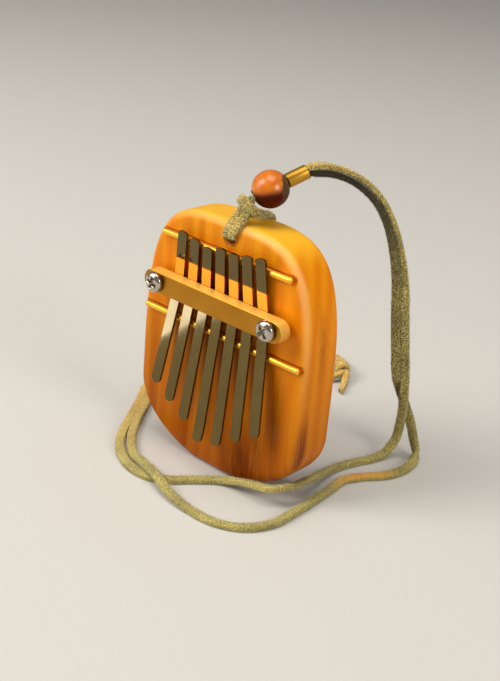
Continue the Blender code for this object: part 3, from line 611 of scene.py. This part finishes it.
def carve(target, cutters):
    """Take cutter meshes out of a piece and keep the result as a plain mesh."""
    helpers = [in_scene("cutter", data) for data in cutters]
    for helper in helpers:
        step = target.modifiers.new("cut", "BOOLEAN")
        step.operation = "DIFFERENCE"
        step.solver = "EXACT"
        step.object = helper
    target.modifiers.new("even", "WEIGHTED_NORMAL").keep_sharp = True
    settle(target)
    for helper in helpers:
        bpy.data.objects.remove(helper, do_unlink=True)


def rod_profile(length, radius):
    """Half outline of a round bar with domed ends."""
    depth = radius * ROD_DOME
    top = [(radius * math.sin(a), length / 2 - depth + depth * math.cos(a)) for a in arc(0, QUARTER, 10)]
    return top + [(r, -h) for r, h in reversed(top)]


def body_outline():
    """Front outline of the board, clockwise from the middle of the top, in even steps."""
    half = BODY_HIGH.x
    crown = TOP_Z - WIDEST_Z
    power = 2 / CROWN_EXPONENT
    foot = math.asin(WIDEST_Z / BELLY_DEPTH)
    side = [(0.0, TOP_Z)]
    side += [(half * math.cos(a) ** power, WIDEST_Z + crown * math.sin(a) ** power)
             for a in arc(QUARTER, 0, OUTLINE_FINE)[1:]]
    side += [(half * math.cos(a), WIDEST_Z - BELLY_DEPTH * math.sin(a))
             for a in arc(0, foot, OUTLINE_FINE)[1:]]
    side[-1] = (side[-1][0], 0.0)
    runs = [0.0]
    for a, b in zip(side, side[1:]):
        runs.append(runs[-1] + math.dist(a, b))
    right = []
    k = 0
    for i in range(OUTLINE_STEPS + 1):
        want = runs[-1] * i / OUTLINE_STEPS
        while k < len(side) - 2 and runs[k + 1] < want:
            k += 1
        share = (want - runs[k]) / (runs[k + 1] - runs[k])
        right.append(tuple(a + (b - a) * share for a, b in zip(side[k], side[k + 1])))
    return right + [(-x, z) for x, z in reversed(right[1:])]


def make_body():
    """The wooden board with its lace hole, rod grooves and pilot holes."""
    shape = prism(body_outline(), FRONT_Y, BACK_Y)
    round_rim(shape, FRONT_Y, FRONT_EDGE_RADIUS, EDGE_STEPS)
    round_rim(shape, BACK_Y, BACK_EDGE_RADIUS, EDGE_STEPS)
    # the rounded front edge is marked for its painted highlight, most in the middle of the rounding
    rim = shape.verts.layers.float.new("rim")
    for vert in shape.verts:
        depth = (vert.co.y - FRONT_Y) / FRONT_EDGE_RADIUS
        if 0 < depth < 1:
            vert[rim] = math.sin(2 * math.acos(1 - depth)) ** 2
    board = place("board", mesh_from(shape, "board", 40), WOOD)
    mouth = BACK_Y + CUTTER_RUN
    flare = [(HOLE_RADIUS + HOLE_FLARE * (1 - math.sin(a)), BACK_Y - HOLE_FLARE * math.cos(a))
             for a in arc(QUARTER, 0, 6)]
    half_hole = flare + [(flare[-1][0], mouth), (0, mouth)]
    hole = [(r, -h) for r, h in reversed(half_hole)] + half_hole
    cutters = [lathe("lace_hole", hole, OUT_OF_FACE, HOLE)]
    for low, high in RODS.values():
        groove = rod_profile(high.x - low.x + 2 * GROOVE_RUN, ROD_RADIUS + FIT)
        cutters.append(lathe("groove", groove, ALONG_X, (0, ROD_Y, middle((low, high), Z))))
    for screw in SCREWS.values():
        radius = SCREW_SHANK / 2 + FIT
        end = FRONT_Y - screw[1].y - 2 * FIT
        pilot = ((0, 0), (radius, 0), (radius, end), (0, end))
        cutters.append(lathe("pilot", pilot, OUT_OF_FACE, (middle(screw, X), FRONT_Y - FIT, BAR_Z)))
    carve(board, cutters)
    hand_in(board, "oiled_wood", "body")


def make_rods():
    """The two brass bridge rods with domed ends."""
    for name, (low, high) in RODS.items():
        centre = (0, ROD_Y, middle((low, high), Z))
        rod = place(name, lathe(name, rod_profile(high.x - low.x, ROD_RADIUS), ALONG_X, centre), ROD_BRASS)
        hand_in(rod, "brass", name.replace("rod", "bridge_rod"))


def make_bar():
    """The clamp bar with half-round ends, eased edges and its two screw holes."""
    half = (BAR_HIGH.z - BAR_LOW.z) / 2
    nose = BAR_HIGH.x - half
    outline = [(nose + half * math.cos(a), BAR_Z + half * math.sin(a)) for a in arc(QUARTER, -QUARTER, 30)]
    outline += [(-x, z) for x, z in reversed(outline)]
    # its back reaches the tines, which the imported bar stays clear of
    back = BAR_HIGH.y + FIT - BAR_GAP
    shape = prism(outline, BAR_LOW.y, back)
    round_rim(shape, BAR_LOW.y, BAR_FACE_RIM, 4)
    round_rim(shape, back, BAR_BACK_RIM, 2)
    bar = place("pressing_bar", mesh_from(shape, "pressing_bar", 40), BAR_BRASS)
    radius = SCREW_SHANK / 2 + FIT
    bore = ((0, -BORE_REACH), (radius, -BORE_REACH), (radius, BORE_REACH), (0, BORE_REACH))
    carve(bar, [lathe("bore", bore, OUT_OF_FACE, (middle(screw, X), BAR_LOW.y, BAR_Z))
                for screw in SCREWS.values()])
    hand_in(bar, "brass", "clamp_bar")
    return bar


def recess_arm(x, face, turn):
    """One tapered arm of a cross recess, as a cutter."""
    spin = Matrix.Translation((x, face, BAR_Z)) @ Matrix.Rotation(math.radians(turn), 4, "Y")
    bm = bmesh.new()
    rings = []
    for depth, span, slot in RECESS_STEPS:
        corners = ((span, slot), (span, -slot), (-span, -slot), (-span, slot))
        rings.append([bm.verts.new(spin @ Vector((across, depth, up))) for across, up in corners])
    loft(bm, rings)
    return mesh_from(bm, "recess_arm")


def make_screws():
    """Two pan-head screws with a tapered cross recess, each turned as it was left."""
    shank = SCREW_SHANK / 2
    head = HEAD_DIAMETER / 2
    for name, (low, high) in SCREWS.items():
        x = middle((low, high), X)
        seat = low.y + HEAD_HEIGHT
        length = high.y - seat
        profile = [(0, -length), (shank / 2, -length), (shank, shank - length), (shank, 0),
                   (head - HEAD_EASE, 0), (head, HEAD_EASE)]
        profile += [(head * math.cos(a) ** HEAD_POWER, HEAD_RIM + (HEAD_HEIGHT - HEAD_RIM) * math.sin(a))
                    for a in arc(0, QUARTER, 14)]
        screw = place(name + "_head", lathe(name, profile, OUT_OF_FACE, (x, seat, BAR_Z), 72), NICKEL)
        carve(screw, [recess_arm(x, low.y, RECESS_TURNS[name] + more) for more in (0, 90)])
        hand_in(screw, "nickel_plate", name)


def new_tree(name, inputs, output):
    """A geometry tree with named inputs and one output, what adds its nodes, and its inputs' sockets."""
    tree = bpy.data.node_groups.new(name, "GeometryNodeTree")
    for label, kind in inputs.items():
        tree.interface.new_socket(label, in_out="INPUT", socket_type="NodeSocket" + kind)
    tree.interface.new_socket(output, in_out="OUTPUT", socket_type="NodeSocketGeometry")
    put = partial(add, tree)
    return tree, put, put("NodeGroupInput").outputs


def use_tree(made, tree, **inputs):
    """Put a node tree on an object, with its inputs set by name."""
    step = made.modifiers.new(tree.name, "NODES")
    names = {item.name: item.identifier for item in tree.interface.items_tree if item.in_out == "INPUT"}
    step.node_group = tree
    for key, value in inputs.items():
        step[names[key.replace("_", " ").title()]] = value


def tine_tree():
    """Sweep a flat strip along a bent line, then draw in its width to round both ends."""
    tree, put, got = new_tree("tine_strip", {
        "Line": "Geometry", "Width": "Float", "Thickness": "Float", "Arris": "Float", "Tip Round": "Float",
        "Tail Round": "Float", "Finish": "Material"}, "Strip")
    run = put("GeometryNodeSplineParameter").outputs["Length"]
    tip_run = put("Math", (put("GeometryNodeSplineLength"), run), "SUBTRACT")
    kept = put("GeometryNodeCaptureAttribute", domain="POINT")
    kept.capture_items.new("FLOAT", "from_tail")
    kept.capture_items.new("FLOAT", "from_tip")
    fill(tree, kept, {"Geometry": got["Line"], "from_tail": run, "from_tip": tip_run})
    section = put("GeometryNodeCurvePrimitiveQuadrilateral", {
        "Width": got["Width"], "Height": got["Thickness"]})
    eased = put("GeometryNodeFilletCurve", {"Curve": section, "Radius": got["Arris"], "Count": 3}, "POLY")
    strip = put("GeometryNodeCurveToMesh", {
        "Curve": kept.outputs["Geometry"], "Profile Curve": eased, "Fill Caps": True})
    shares = []
    for side, rounding, power in (("from_tip", "Tip Round", TIP_POWER),
                                  ("from_tail", "Tail Round", TAIL_POWER)):
        far = put("Math", (kept.outputs[side], got[rounding]), "DIVIDE", use_clamp=True)
        left = put("Math", (1.0, far), "SUBTRACT")
        bent = put("Math", (left, power), "POWER")
        rest = put("Math", (1.0, bent), "SUBTRACT")
        shares.append(put("Math", (rest, 1 / power), "POWER"))
    share = put("Math", shares, "MINIMUM")
    least = put("Math", (share, LEAST_WIDTH), "MAXIMUM")
    spot = put("SeparateXYZ", (put("GeometryNodeInputPosition"),)).outputs
    across = put("Math", (spot[X], least), "MULTIPLY")
    moved = put("CombineXYZ", (across, spot[Y], spot[Z]))
    rounded = put("GeometryNodeSetPosition", {"Geometry": strip, "Position": moved})
    whole = put("GeometryNodeRealizeInstances", {"Geometry": rounded})
    done = put("GeometryNodeSetMaterial", {"Geometry": whole, "Material": got["Finish"]})
    put("NodeGroupOutput", {"Strip": done})
    return tree


def strip_curve(run, lower, upper):
    """Height of a clamped strip, level under the bar and straight from there over the rods."""
    straight = (lower if run <= lower else upper - lower) - BEND_FROM_BAR_MIDDLE
    slope = STRIP_DIP / straight
    past = abs(run - lower) - BEND_FROM_BAR_MIDDLE
    if past >= BEND_HALF_RUN:
        return slope * past - STRIP_DIP
    bent = max(0.0, past + BEND_HALF_RUN)
    return slope * bent * bent / (4 * BEND_HALF_RUN) - STRIP_DIP


def tine_line(index, fan):
    """Points of one tine's middle line from tail to tip, counted from its hinge, closer at both ends."""
    lower = LOWER_SPAN / math.cos(fan)
    upper = CLAMPED_SPAN / math.cos(fan)
    tongue = TONGUE_LENGTHS[index]
    tail = upper + TAIL_LENGTHS[index]
    runs = [tail - TAIL_FINE * TAIL_ROUND * (1 - math.cos(a)) for a in arc(0, QUARTER, TAIL_STEPS)]
    runs += [runs[-1] * (1 - k / CLAMPED_STEPS) for k in range(1, CLAMPED_STEPS)]
    spots = [Vector((0, -strip_curve(run, lower, upper), run)) for run in runs]
    ends = [tongue * k / TONGUE_STEPS for k in range(1, TIP_FROM + 1)]
    ends += [tongue - (tongue - ends[-1]) * (1 - math.sin(a)) for a in arc(0, QUARTER, TIP_STEPS)[1:]]
    rise = Matrix.Rotation(-TONGUE_RISE, 3, "X")
    for run in ends:
        past = max(0.0, CURL_LENGTH - tongue + run) / CURL_LENGTH
        spots.append(rise @ Vector((0, -TIP_CURLS[index] * past * past, -run)))
    return spots


def make_tines():
    """Seven strips, each bent over the rods and free below the lower one."""
    tree = tine_tree()
    made = []
    for index in range(len(TONGUE_LENGTHS)):
        name = "tine_%d" % (index + 1)
        step = index - len(TONGUE_LENGTHS) // 2
        fan = math.atan2(step * (PITCH_AT_UPPER_ROD - PITCH_AT_LOWER_ROD), CLAMPED_SPAN)
        hinge = Vector((step * PITCH_AT_LOWER_ROD, HINGE_Y, LOWER_ROD_Z))
        line = bpy.data.curves.new("tine_line", "CURVE")
        line.dimensions = "3D"
        spots = tine_line(index, fan)
        spline = line.splines.new("POLY")
        spline.points.add(len(spots) - 1)
        for point, spot in zip(spline.points, spots):
            point.co = (*spot, 1)
        drawn = in_scene("tine_line", line)
        use_tree(drawn, tree, width=TINE_WIDTH, thickness=TINE_THICKNESS, arris=TINE_ARRIS,
                 tip_round=TINE_WIDTH / 2, tail_round=TAIL_ROUND, finish=STEEL)
        bm = bmesh.new()
        bm.from_mesh(evaluated(drawn))
        bpy.data.objects.remove(drawn, do_unlink=True)
        bmesh.ops.remove_doubles(bm, verts=bm.verts, dist=1e-7)
        data = mesh_from(bm, name, 10)
        data.transform(Matrix.Translation(hinge) @ Matrix.Rotation(fan, 4, "Y"))
        tine = place(name + "_strip", data, STEEL)
        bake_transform(tine)
        hand_in(tine, "ground_steel", name + "_root", name + "_tongue")
        made.append(tine)
    return made


def make_bead():
    """The turned bead with its bore."""
    first = math.asin(BEAD_BORE / BEAD_RADIUS)
    profile = [(BEAD_RADIUS * math.sin(a), BEAD_RADIUS * math.cos(a))
               for a in arc(first, math.pi - first, 48)]
    data = lathe("turned_bead", profile, ALONG_THREAD, BEAD_CENTRE, 96, True, 50)
    hand_in(place("turned_bead", data, BEAD_WOOD), "polished_bead_wood", "bead", body="bead")


def make_ferrule():
    """The brass tube with rolled lips."""
    lip = (FERRULE_OUTSIDE - FERRULE_INSIDE) / 2
    profile = []
    for end, first in ((FERRULE_END - lip, 0.0), (FERRULE_START + lip, math.pi)):
        profile += [(FERRULE_INSIDE + lip + lip * math.cos(a), end + lip * math.sin(a))
                    for a in arc(first, first + math.pi, 8)]
    data = lathe("ferrule_tube", profile, ALONG_THREAD, BEAD_CENTRE, 72, True, 50)
    hand_in(place("ferrule_tube", data, FERRULE_BRASS), "brass", "ferrule")


def smooth_route(points, step):
    """Even samples of a smooth curve through route points, with the route index of each."""
    chain = [Vector(p) for p in points]
    gaps = [(b - a).length for a, b in zip(chain, chain[1:])]
    slopes = [(b - a) / g for a, b, g in zip(chain, chain[1:], gaps)]
    tangents = [slopes[0]]
    for before, after, g, h in zip(slopes, slopes[1:], gaps, gaps[1:]):
        tangents.append((before * h + after * g) / (g + h))
    tangents.append(slopes[-1])
    samples = [(chain[0], 0.0)]
    for i, gap in enumerate(gaps):
        parts = max(2, round(gap / step))
        for k in range(1, parts + 1):
            t = k / parts
            blend = chain[i] * (2 * t ** 3 - 3 * t * t + 1) + chain[i + 1] * (3 * t * t - 2 * t ** 3)
            lean = tangents[i] * (t ** 3 - 2 * t * t + t) + tangents[i + 1] * (t ** 3 - t * t)
            samples.append((blend + lean * gap, i + t))
    return samples


def between(keys, at):
    """Value of a table of numbers or vectors at a place between its keys."""
    order = sorted(keys)
    if at <= order[0]:
        return keys[order[0]]
    for a, b in zip(order, order[1:]):
        if at <= b:
            share = (at - a) / (b - a)
            return keys[a] * (1 - share) + keys[b] * share
    return keys[order[-1]]


def along(samples, keys, start=0):
    """Values of such a table at each sample, with its keys counted from a route index."""
    return [between(keys, at - start) for _, at in samples]


def headings(spots):
    """Unit direction of travel at each sample."""
    ends = [spots[0]] + list(spots) + [spots[-1]]
    return [(after - before).normalized() for before, after in zip(ends, ends[2:])]


def laid_flat(spots, first):
    """Directions across a lace that lies on its broad side wherever it is level."""
    across = []
    last = Vector(first)
    for heading in headings(spots):
        flat = heading.cross(UP)
        level = min(1.0, max(0.0, (flat.length - LEVEL_FROM) / LEVEL_RUN))
        if flat.dot(last) < 0:
            flat = -flat
        want = last * (1 - level) + flat.normalized() * level if flat.length > 1e-6 else last
        want = last * (1 - TURN_SHARE) + want.normalized() * TURN_SHARE
        last = (want - heading * want.dot(heading)).normalized()
        across.append(last)
    return across


def sweep_lace(name, spots, across, widths, depths, twists=None, rubbed_and_sheen=None, darker_strand=None, seed=0.0,
               cut=0.0):
    """Loft a flat lace with round edges and a slightly ragged cut along its samples."""
    bm = bmesh.new()
    bare_and_reflection = bm.verts.layers.float.new("rubbed_and_sheen")
    dark = bm.verts.layers.float.new("darker_strand")
    rings = []
    travel = headings(spots)
    for i, spot in enumerate(spots):
        heading = travel[i]
        side = (across[i] - heading * across[i].dot(heading)).normalized()
        if twists:
            side.rotate(Matrix.Rotation(twists[i], 3, heading))
        out = heading.cross(side)
        ring = []
        for k in range(LACE_CORNERS):
            angle = 2 * math.pi * (k + 0.5) / LACE_CORNERS
            c = math.copysign(abs(math.cos(angle)) ** LACE_SIDE_POWER, math.cos(angle))
            s = math.copysign(abs(math.sin(angle)) ** LACE_FACE_POWER, math.sin(angle))
            flat = side * (c * widths[i] / 2) + out * (s * depths[i] / 2)
            corner = spot + flat
            ragged = noise.noise(corner * FINE_RAGS + Vector((seed, 0, 0)))
            ragged += noise.noise(corner * COARSE_RAGS + Vector((0, seed, 0)))
            corner += flat.normalized() * ragged * LACE_RAGGED
            if i == len(spots) - 1:
                corner += heading * (c * cut)
            corner.z = max(corner.z, FLOOR_GAP)
            vert = bm.verts.new(corner)
            upper = min(1.0, max(0.0, (corner.z - spot.z) / depths[i] * 2 + 0.2))
            vert[bare_and_reflection] = rubbed_and_sheen[i] * upper if rubbed_and_sheen else 0.0
            vert[dark] = darker_strand[i] if darker_strand else 0.0
            ring.append(vert)
        rings.append(ring)
    loft(bm, rings)
    return place(name, mesh_from(bm, name, 60), SUEDE)


def nap_tree():
    """Scatter short bent fibres over a lace, leaning at random."""
    tree, put, got = new_tree("suede_nap", {
        "Lace": "Geometry", "Density": "Float", "Length": "Float", "Root": "Float", "Seed": "Int",
        "Finish": "Material"}, "Nap")
    spread = put("GeometryNodeDistributePointsOnFaces", {
        "Mesh": got["Lace"], "Density": got["Density"], "Seed": got["Seed"]})
    fibre = put("GeometryNodeMeshCone", {
        "Vertices": 3, "Side Segments": 1, "Radius Top": 0.0, "Radius Bottom": got["Root"],
        "Depth": got["Length"]}, fill_type="NONE")
    lean = put("FunctionNodeRandomValue", {
        "Min": (-1.1, -1.1, -3.1), "Max": (1.1, 1.1, 3.1), "Seed": got["Seed"]}, "FLOAT_VECTOR")
    tilt = put("FunctionNodeRotateRotation", {
        "Rotation": spread.outputs["Rotation"], "Rotate By": lean}, rotation_space="LOCAL")
    size = put("FunctionNodeRandomValue", {2: 0.5, 3: 1.5, "Seed": got["Seed"]}, "FLOAT")
    grown = put("GeometryNodeInstanceOnPoints", {
        "Points": spread, "Instance": fibre, "Rotation": tilt, "Scale": size})
    whole = put("GeometryNodeRealizeInstances", {"Geometry": grown})
    # no fibre reaches into the floor
    spot = put("SeparateXYZ", (put("GeometryNodeInputPosition"),)).outputs
    raised = put("Math", (spot[Z], NAP_GAP), "MAXIMUM")
    above = put("CombineXYZ", (spot[X], spot[Y], raised))
    clear = put("GeometryNodeSetPosition", {"Geometry": whole, "Position": above})
    done = put("GeometryNodeSetMaterial", {"Geometry": clear, "Material": got["Finish"]})
    put("NodeGroupOutput", {"Nap": done})
    return tree


NAP = nap_tree()


def grow_nap(lace, seed):
    """Loose fibres over one lace, drawn thicker than real ones so that they show."""
    nap = place(lace.name + "_nap", lace.data.copy(), FIBRE)
    use_tree(nap, NAP, density=NAP_DENSITY, length=NAP_LENGTH, root=NAP_ROOT, seed=seed, finish=FIBRE)
    settle(nap)
    hand_in(nap, "suede_lace")
    return nap


def threaded(run, side, turn):
    """Place of one strand on the bead's axis, with the pair turned about it."""
    offset = LEVEL * math.cos(turn) - ABOVE * math.sin(turn)
    return BEAD_CENTRE + THREAD * run + offset * side * PAIR_HALF


def make_strand(name, nodes, side, route, tail, twists, rubs, darker_shares, seed):
    """One half of the lace: through bead and ferrule, round the floor, through the knot to its cut end."""
    points = [threaded(BEAD_MOUTH * (k - 2) / 2, side, QUARTER * k / 4) for k in range(5)]
    runs = ((FERRULE_START + FERRULE_END) / 2, FERRULE_END, FERRULE_END + LACE_JOIN)
    points += [threaded(run, side, QUARTER) for run in runs]
    lead = len(points)
    into = KNOT_CENTRE - KNOT_AXIS * (KNOT_HALF + LACE_JOIN) + KNOT_SIDE * side
    inside = KNOT_CENTRE + KNOT_SIDE * side * 0.7
    leave = KNOT_CENTRE + KNOT_AXIS * (KNOT_HALF + LACE_JOIN) + KNOT_SIDE * side
    points += route + [into, inside, leave] + tail
    samples = smooth_route(points, LACE_STEP)
    spots = [s for s, _ in samples]
    for spot in spots:
        spot.z = max(spot.z, LACE_THICKNESS / 2 + LACE_LIFT)
    knot_at = lead + len(route) + 1
    # drawn in by the bead, the ferrule, the twist below it and the knot
    widths = {0: 0.0015, 2: 0.0017, 4: 0.0023, lead - 2: 0.0024, lead: 0.0028, lead + 2: 0.0025,
              lead + 3.5: 0.0020, lead + 5: 0.0024, lead + 6.5: LACE_WIDTH, knot_at - 2: LACE_WIDTH,
              knot_at - 1: 0.0022, knot_at: 0.0017, knot_at + 1: 0.0022, knot_at + 2: 0.0026,
              len(points) - 1: 0.0017}
    depths = {0: 0.0015, 4: 0.0015, lead - 2: 0.0015, lead: LACE_THICKNESS, lead + 2: 0.0018,
              lead + 4: 0.0016, lead + 6: 0.0018, lead + 8: LACE_THICKNESS, knot_at - 2: LACE_THICKNESS,
              knot_at: 0.0013, knot_at + 2: LACE_THICKNESS}
    lace = sweep_lace(name, spots, laid_flat(spots, LEVEL), along(samples, widths), along(samples, depths),
                      *(along(samples, keys, lead) for keys in (twists, rubs, darker_shares)), seed, LACE_CUT)
    hand_in(lace, "suede_lace", *nodes)
    return lace, spots


def make_knot():
    """Overhand knot: the lace wound round both strands, its ends tucked under."""
    level = KNOT_AXIS.cross(UP).normalized()
    turns, start, count, tucked = 2.6, 0.6, 150, 0.10
    core, swell, length, shift = 0.0010, 0.0013, 0.0047, 0.00025
    spots = []
    for i in range(count + 1):
        u = i / count
        angle = 2 * math.pi * turns * u + start
        tuck = min(1.0, min(u, 1 - u) / tucked)
        radius = core + swell * (tuck * tuck * (3 - 2 * tuck))
        outward = UP * math.cos(angle) + level * math.sin(angle)
        run = (u - 0.5) * length + shift * math.sin(angle * 0.5 + 1.0)
        spots.append(KNOT_CENTRE + KNOT_AXIS * run + outward * radius)
    each = len(spots)
    knot = sweep_lace("wound_knot", spots, [KNOT_AXIS] * each, [0.0023] * each, [0.0015] * each,
                      rubbed_and_sheen=[0.55] * each, seed=7.0)
    hand_in(knot, "suede_lace", "cord_knot")
    return knot


def make_hitch():
    """The folded end: two strands down the front, through the hole, and a collar round them."""
    half = (BACK_Y - FRONT_Y) / 2
    ends = [threaded(-BEAD_MOUTH - LACE_JOIN, side, 0) for side in (-1, 1)]
    loop = [HOLE + Vector((x / 1000, y * half, z / 1000)) for x, y, z in HITCH_ROUTE]
    samples = smooth_route([ends[0]] + loop + [ends[1]], HITCH_STEP)
    across = along(samples, {k: Vector(v) for k, v in HITCH_ACROSS.items()})
    spots = [s for s, _ in samples]
    sunk = [spot - heading.cross(side).normalized() * HITCH_SINK
            for spot, heading, side in zip(spots, headings(spots), across)]
    widths = {0: 0.0013, 1: 0.0022, 2: 0.0028, 5: 0.0029, 6: 0.0025, 8: 0.0021, 11: 0.0021, 13: 0.0026,
              22: 0.0029, 30: 0.0027, 32: 0.0023, 33: 0.0021, 36: 0.0021, 38: 0.0025, 39: 0.0029, 42: 0.0028,
              43: 0.0022, 44: 0.0013}
    depths = {0: 0.0013, 2: 0.0016, 8: 0.0015, 22: 0.0017, 36: 0.0015, 42: 0.0016, 44: 0.0013}
    hitch = sweep_lace("hitched_lace", sunk, across, along(samples, widths), along(samples, depths),
                       rubbed_and_sheen=[0.25] * len(samples), seed=3.0)
    hand_in(hitch, "suede_lace", "cord_hitch")
    return hitch, spots


def make_lace():
    """All of the lace: the hitch, the two strands that go on to the knot, the knot and their loose fibres."""
    hitch, hitch_line = make_hitch()
    inner, inner_line = make_strand(
        "inner_lace", ("inner_strand", "long_tail"), -1, INNER_ROUTE, LONG_TAIL_ROUTE,
        {0: 0.0, 3: -0.2, 6: -1.0, 7: -1.25, 9: -1.2, 10.5: -0.6, 12: 0.0, 20: 0.3, 24: 0.0},
        {0: 0.4, 5: 0.25, 9: 0.0, 29: 0.0, 32: 0.5, 41: 0.6}, {0: 0.0}, 1.0)
    outer, outer_line = make_strand(
        "outer_lace", ("outer_strand", "short_tail"), 1, OUTER_ROUTE, SHORT_TAIL_ROUTE,
        {0: 0.0, 3: -0.2, 6: -1.0, 7: -1.25, 9: -1.2, 12: -1.0, 14: -0.55, 16: -0.2, 18: 0.0, 27: 0.15,
         30: 0.0},
        {16.3: 0.0, 17.4: 0.9, 18.8: 1.0, 20.2: 0.0, 30: 0.0, 33: 0.5, 42: 0.6},
        {2: 0.94, 4: 0.8, 5.5: 0.45, 7: 0.25, 9: 0.2, 10: 0.55, 12: 0.15, 14: 0.0}, 2.0)
    knot = make_knot()
    laces = [hitch, inner, outer, knot]
    naps = [grow_nap(lace, seed) for seed, lace in enumerate(laces)]
    return laces + naps


def hang_lamp(name, where, aim, sides, power, colour, lit=()):
    """A soft lamp with its place and aim, which lights only the given pieces where there are any."""
    lamp = bpy.data.lights.new(name, "AREA")
    lamp.shape = "RECTANGLE"
    lamp.size, lamp.size_y = sides
    lamp.energy = power
    lamp.color = colour
    held = in_scene(name, lamp)
    held.location = where
    held.rotation_euler = aim.to_euler()
    if lit:
        held.light_linking.receiver_collection = bpy.data.collections.new("lit_by_" + name)
        for piece in lit:
            held.light_linking.receiver_collection.objects.link(piece)


def make_studio(tines, bar, laces):
    """Pale floor, soft light from overhead, left and right, and small cards for the tines, bar and lace."""
    bm = bmesh.new()
    bmesh.ops.create_grid(bm, x_segments=2, y_segments=2, size=4.0)
    floor = place("floor", mesh_from(bm, "floor"), PAPER)
    scene = bpy.context.scene
    scene.view_settings.view_transform = "Standard"
    scene.world = bpy.data.worlds.new("studio")
    scene.world.use_nodes = True
    tree = scene.world.node_tree
    fill(tree, tree.nodes["Background"], {"Color": (1.0, 0.97, 0.92, 1.0), "Strength": 0.24})
    target = Vector((0.0, 0.0, 0.045))
    warm, white, cool = (1.0, 0.96, 0.90), (1.0, 1.0, 1.0), (0.585, 0.645, 1.0)
    for name, where, size, power, colour, lit in (
            ("overhead", (0.05, -0.15, 1.55), 0.9, 10.5, warm, ()),
            ("front_key", (-0.62, -0.95, 1.05), 0.6, 10.5, warm, ()),
            ("left_window", (-0.60, -0.66, 0.44), 0.62, 3.0, warm, ()),
            ("right_fill", (1.9, -0.2, 0.9), 0.8, 18.0, warm, ()),
            ("bar_card", (0.0, -0.02, 0.36), 0.10, 0.31, white, [bar]),
            ("lace_card", (-0.25, 0.35, 0.60), 0.30, 0.9, white, laces)):
        aim = (target - Vector(where)).to_track_quat("-Z", "Y")
        hang_lamp(name, where, aim, (size, size), power, colour, lit)
    # the polished tines mirror the corner of a card that hangs turned by 41 degrees
    away = Vector((-0.640, -0.735, -0.225)).normalized()
    long = Matrix.Rotation(math.radians(41), 3, away) @ UP.cross(away).normalized()
    over = away.cross(long)
    where = Vector((-0.1165, -0.1208, 0.0064)) + long * 0.030 + over * 0.020
    hang_lamp("tine_card", where, Matrix((long, over, away)).transposed(), (0.080, 0.040), 0.080, cool, tines)


def make_camera():
    """The photograph's view: from the right and above, slightly rolled."""
    turn, height, roll = (math.radians(a) for a in (40.52, 24.05, 5.35))
    target = Vector((0.00591, 0.0, 0.04840))
    distance = 0.36261
    back = Vector((math.sin(turn) * math.cos(height), -math.cos(turn) * math.cos(height), math.sin(height)))
    right = UP.cross(back).normalized()
    up = back.cross(right)
    right, up = right * math.cos(roll) + up * math.sin(roll), up * math.cos(roll) - right * math.sin(roll)
    lens = bpy.data.cameras.new("view")
    lens.lens = 58.15
    lens.clip_start = 0.01
    camera = in_scene("view", lens)
    aim = Matrix((right, up, back)).transposed().to_4x4()
    camera.matrix_world = Matrix.Translation(target + back * distance) @ aim
    bpy.context.scene.camera = camera


make_camera()
LACES = make_lace()
make_body()
make_rods()
BAR = make_bar()
make_screws()
TINES = make_tines()
make_bead()
make_ferrule()
make_studio(TINES, BAR, LACES)

bpy.context.view_layer.update()
